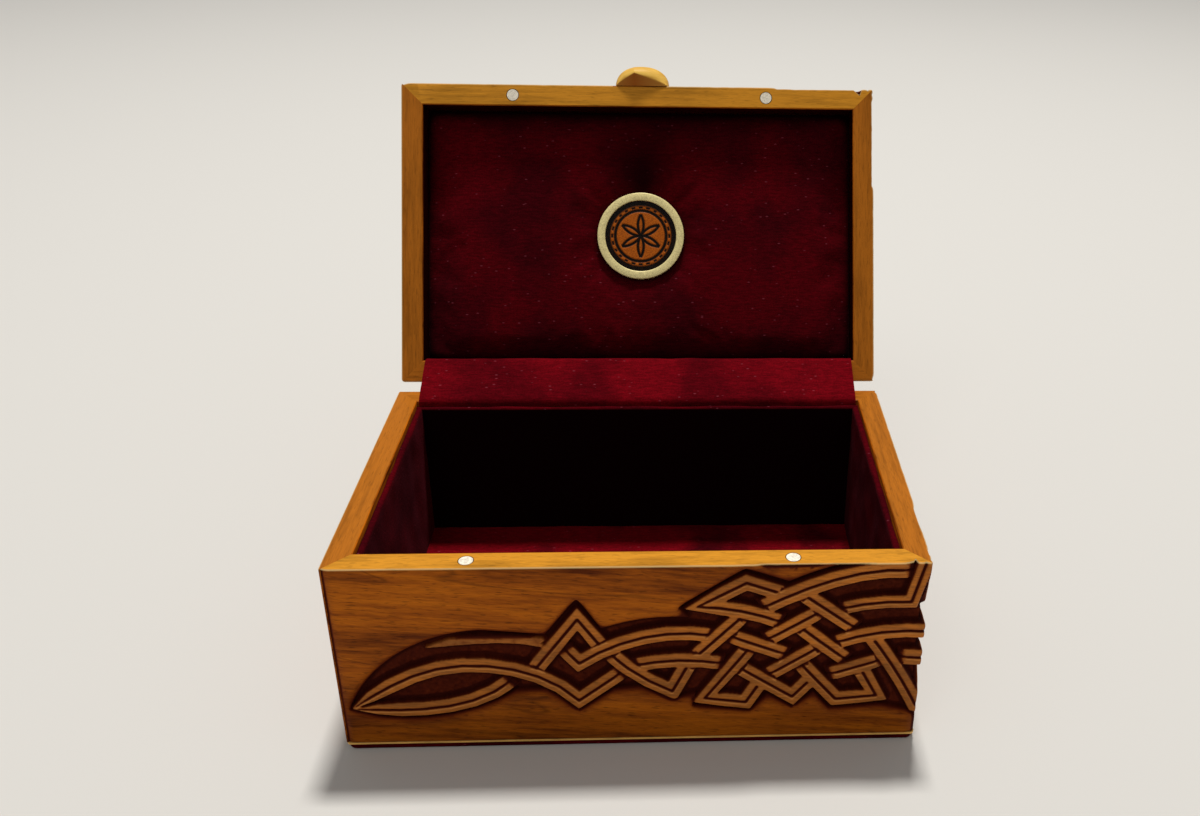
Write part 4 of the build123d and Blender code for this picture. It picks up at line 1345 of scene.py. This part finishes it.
class CHEST_OT_metalwork(bpy.types.Operator):
    """Gives the hinges, screws, pins, magnets, tenon and brass line their finishes"""
    bl_idname = "chest.metalwork"
    bl_label = "Metalwork"
    bl_options = {"REGISTER", "UNDO"}

    def execute(self, context):
        colours = context.scene.chest_colours
        brass = metal("brushed_hinge_brass", colours.hinge_brass, 0.34, (6.0, 0.25, 0.25), 0.4)
        finishes = {
            "hinge_leaf": brass,
            "hinge_pin": brass,
            "hinge_screws": brass,
            # Nearly matt and pale: a painted reflection of polished brass, bright out of the overhead lamp's
            # light
            "brass_base_strip": metal("polished_strip_brass", colours.strip_brass, 0.3,
                                      (8.0, 0.5, 0.5), 0.25, metallic=0.1),
            "magnet": metal("satin_nickel_magnet", colours.magnet, 0.5, (0.8, 0.8, 0.8), 0.3, metallic=0.2),
            "pull_tenon": boxwood("tenon_wood"),
        }
        for name, node in frame["nodes"].items():
            for part, finish in finishes.items():
                if part in name:
                    dress(node, finish)
        return {"FINISHED"}


class CHEST_OT_stage(bpy.types.Operator):
    """Lays the pale floor and sets the lamps and the camera"""
    bl_idname = "chest.stage"
    bl_label = "Stage"
    bl_options = {"REGISTER", "UNDO"}

    def execute(self, context):
        deselect()
        bpy.ops.mesh.primitive_plane_add(size=6, location=(0, 0, 0))
        floor = context.active_object
        floor.name = "studio_floor"
        bpy.ops.object.transform_apply(location=True)
        dress(floor, floor_paper("pale_paper_floor"))

        world = bpy.data.worlds.new("soft_room")
        context.scene.world = world
        world.use_nodes = True
        back = world.node_tree.nodes["Background"]
        back.inputs["Color"].default_value = tuple(context.scene.chest_colours.room)
        back.inputs["Strength"].default_value = 0.25
        target = (0.0, 0.03, 0.08)
        lamp("overhead_softbox", (0.12, 0.79, 3.0), target, (0.36, 0.3), 82.0)
        lamp("front_softbox", (-0.5, -1.5, 2.4), target, (1.4, 1.0), 7.6)
        place_camera(Vector((15.04 * MM, -396.59 * MM, 317.0 * MM)), (3.728, 26.537, 1.574),
                     lens=35.16, shift=(-0.1188, -0.0233))
        context.scene.view_settings.view_transform = "Standard"
        return {"FINISHED"}


def lamp(name, place, target, size, power):
    data = bpy.data.lights.new(name, "AREA")
    data.shape = "RECTANGLE"
    data.size, data.size_y = size
    data.energy = power
    light = bpy.data.objects.new(name, data)
    bpy.context.scene.collection.objects.link(light)
    light.location = place
    light.rotation_euler = (Vector(target) - Vector(place)).to_track_quat("-Z", "Y").to_euler()


def place_camera(place, angles, lens, shift):
    """Sets the camera by its turn to the right, its dip and its roll in degrees, with a lens in mm."""
    yaw, dip, roll = (math.radians(angle) for angle in angles)
    forward = Vector((math.sin(yaw) * math.cos(dip), math.cos(yaw) * math.cos(dip), -math.sin(dip)))
    right = Vector((math.cos(yaw), -math.sin(yaw), 0))
    upward = right.cross(forward)
    rolled = right * math.cos(roll) + upward * math.sin(roll)
    upright = upward * math.cos(roll) - right * math.sin(roll)
    data = bpy.data.cameras.new("table_camera")
    data.lens = lens
    data.sensor_width = 36
    data.shift_x, data.shift_y = shift
    data.clip_start = 10 * MM
    camera = bpy.data.objects.new("table_camera", data)
    bpy.context.scene.collection.objects.link(camera)
    turn = Matrix((rolled, upright, -forward)).transposed()
    camera.matrix_world = Matrix.Translation(place) @ turn.to_4x4()
    bpy.context.scene.camera = camera


steps = (
    CHEST_OT_walls, CHEST_OT_bottom, CHEST_OT_linings, CHEST_OT_lid_frame, CHEST_OT_lid_pad,
    CHEST_OT_hinge_cloth, CHEST_OT_badge, CHEST_OT_pull, CHEST_OT_metalwork, CHEST_OT_stage,
)


class CHEST_PT_panel(bpy.types.Panel):
    """Lists the sizes, the colours and the steps that make the chest"""
    bl_idname = "CHEST_PT_panel"
    bl_label = "Keepsake Chest"
    bl_space_type = "VIEW_3D"
    bl_region_type = "UI"
    bl_category = "Chest"

    def draw(self, context):
        layout = self.layout
        for group in (context.scene.chest_sizes, context.scene.chest_colours):
            for name in group.bl_rna.properties.keys():
                if name not in ("rna_type", "name"):
                    layout.prop(group, name)
        for step in steps:
            layout.operator(step.bl_idname)


classes = (ChestColours, ChestSizes, *steps, CHEST_PT_panel)


def register():
    for made in classes:
        bpy.utils.register_class(made)
    bpy.types.Scene.chest_colours = bpy.props.PointerProperty(type=ChestColours)
    bpy.types.Scene.chest_sizes = bpy.props.PointerProperty(type=ChestSizes)


def unregister():
    del bpy.types.Scene.chest_sizes
    del bpy.types.Scene.chest_colours
    for made in reversed(classes):
        bpy.utils.unregister_class(made)


def main():
    register()
    for step in steps:
        family, name = step.bl_idname.split(".")
        getattr(getattr(bpy.ops, family), name)()


if __name__ == "__main__":
    main()
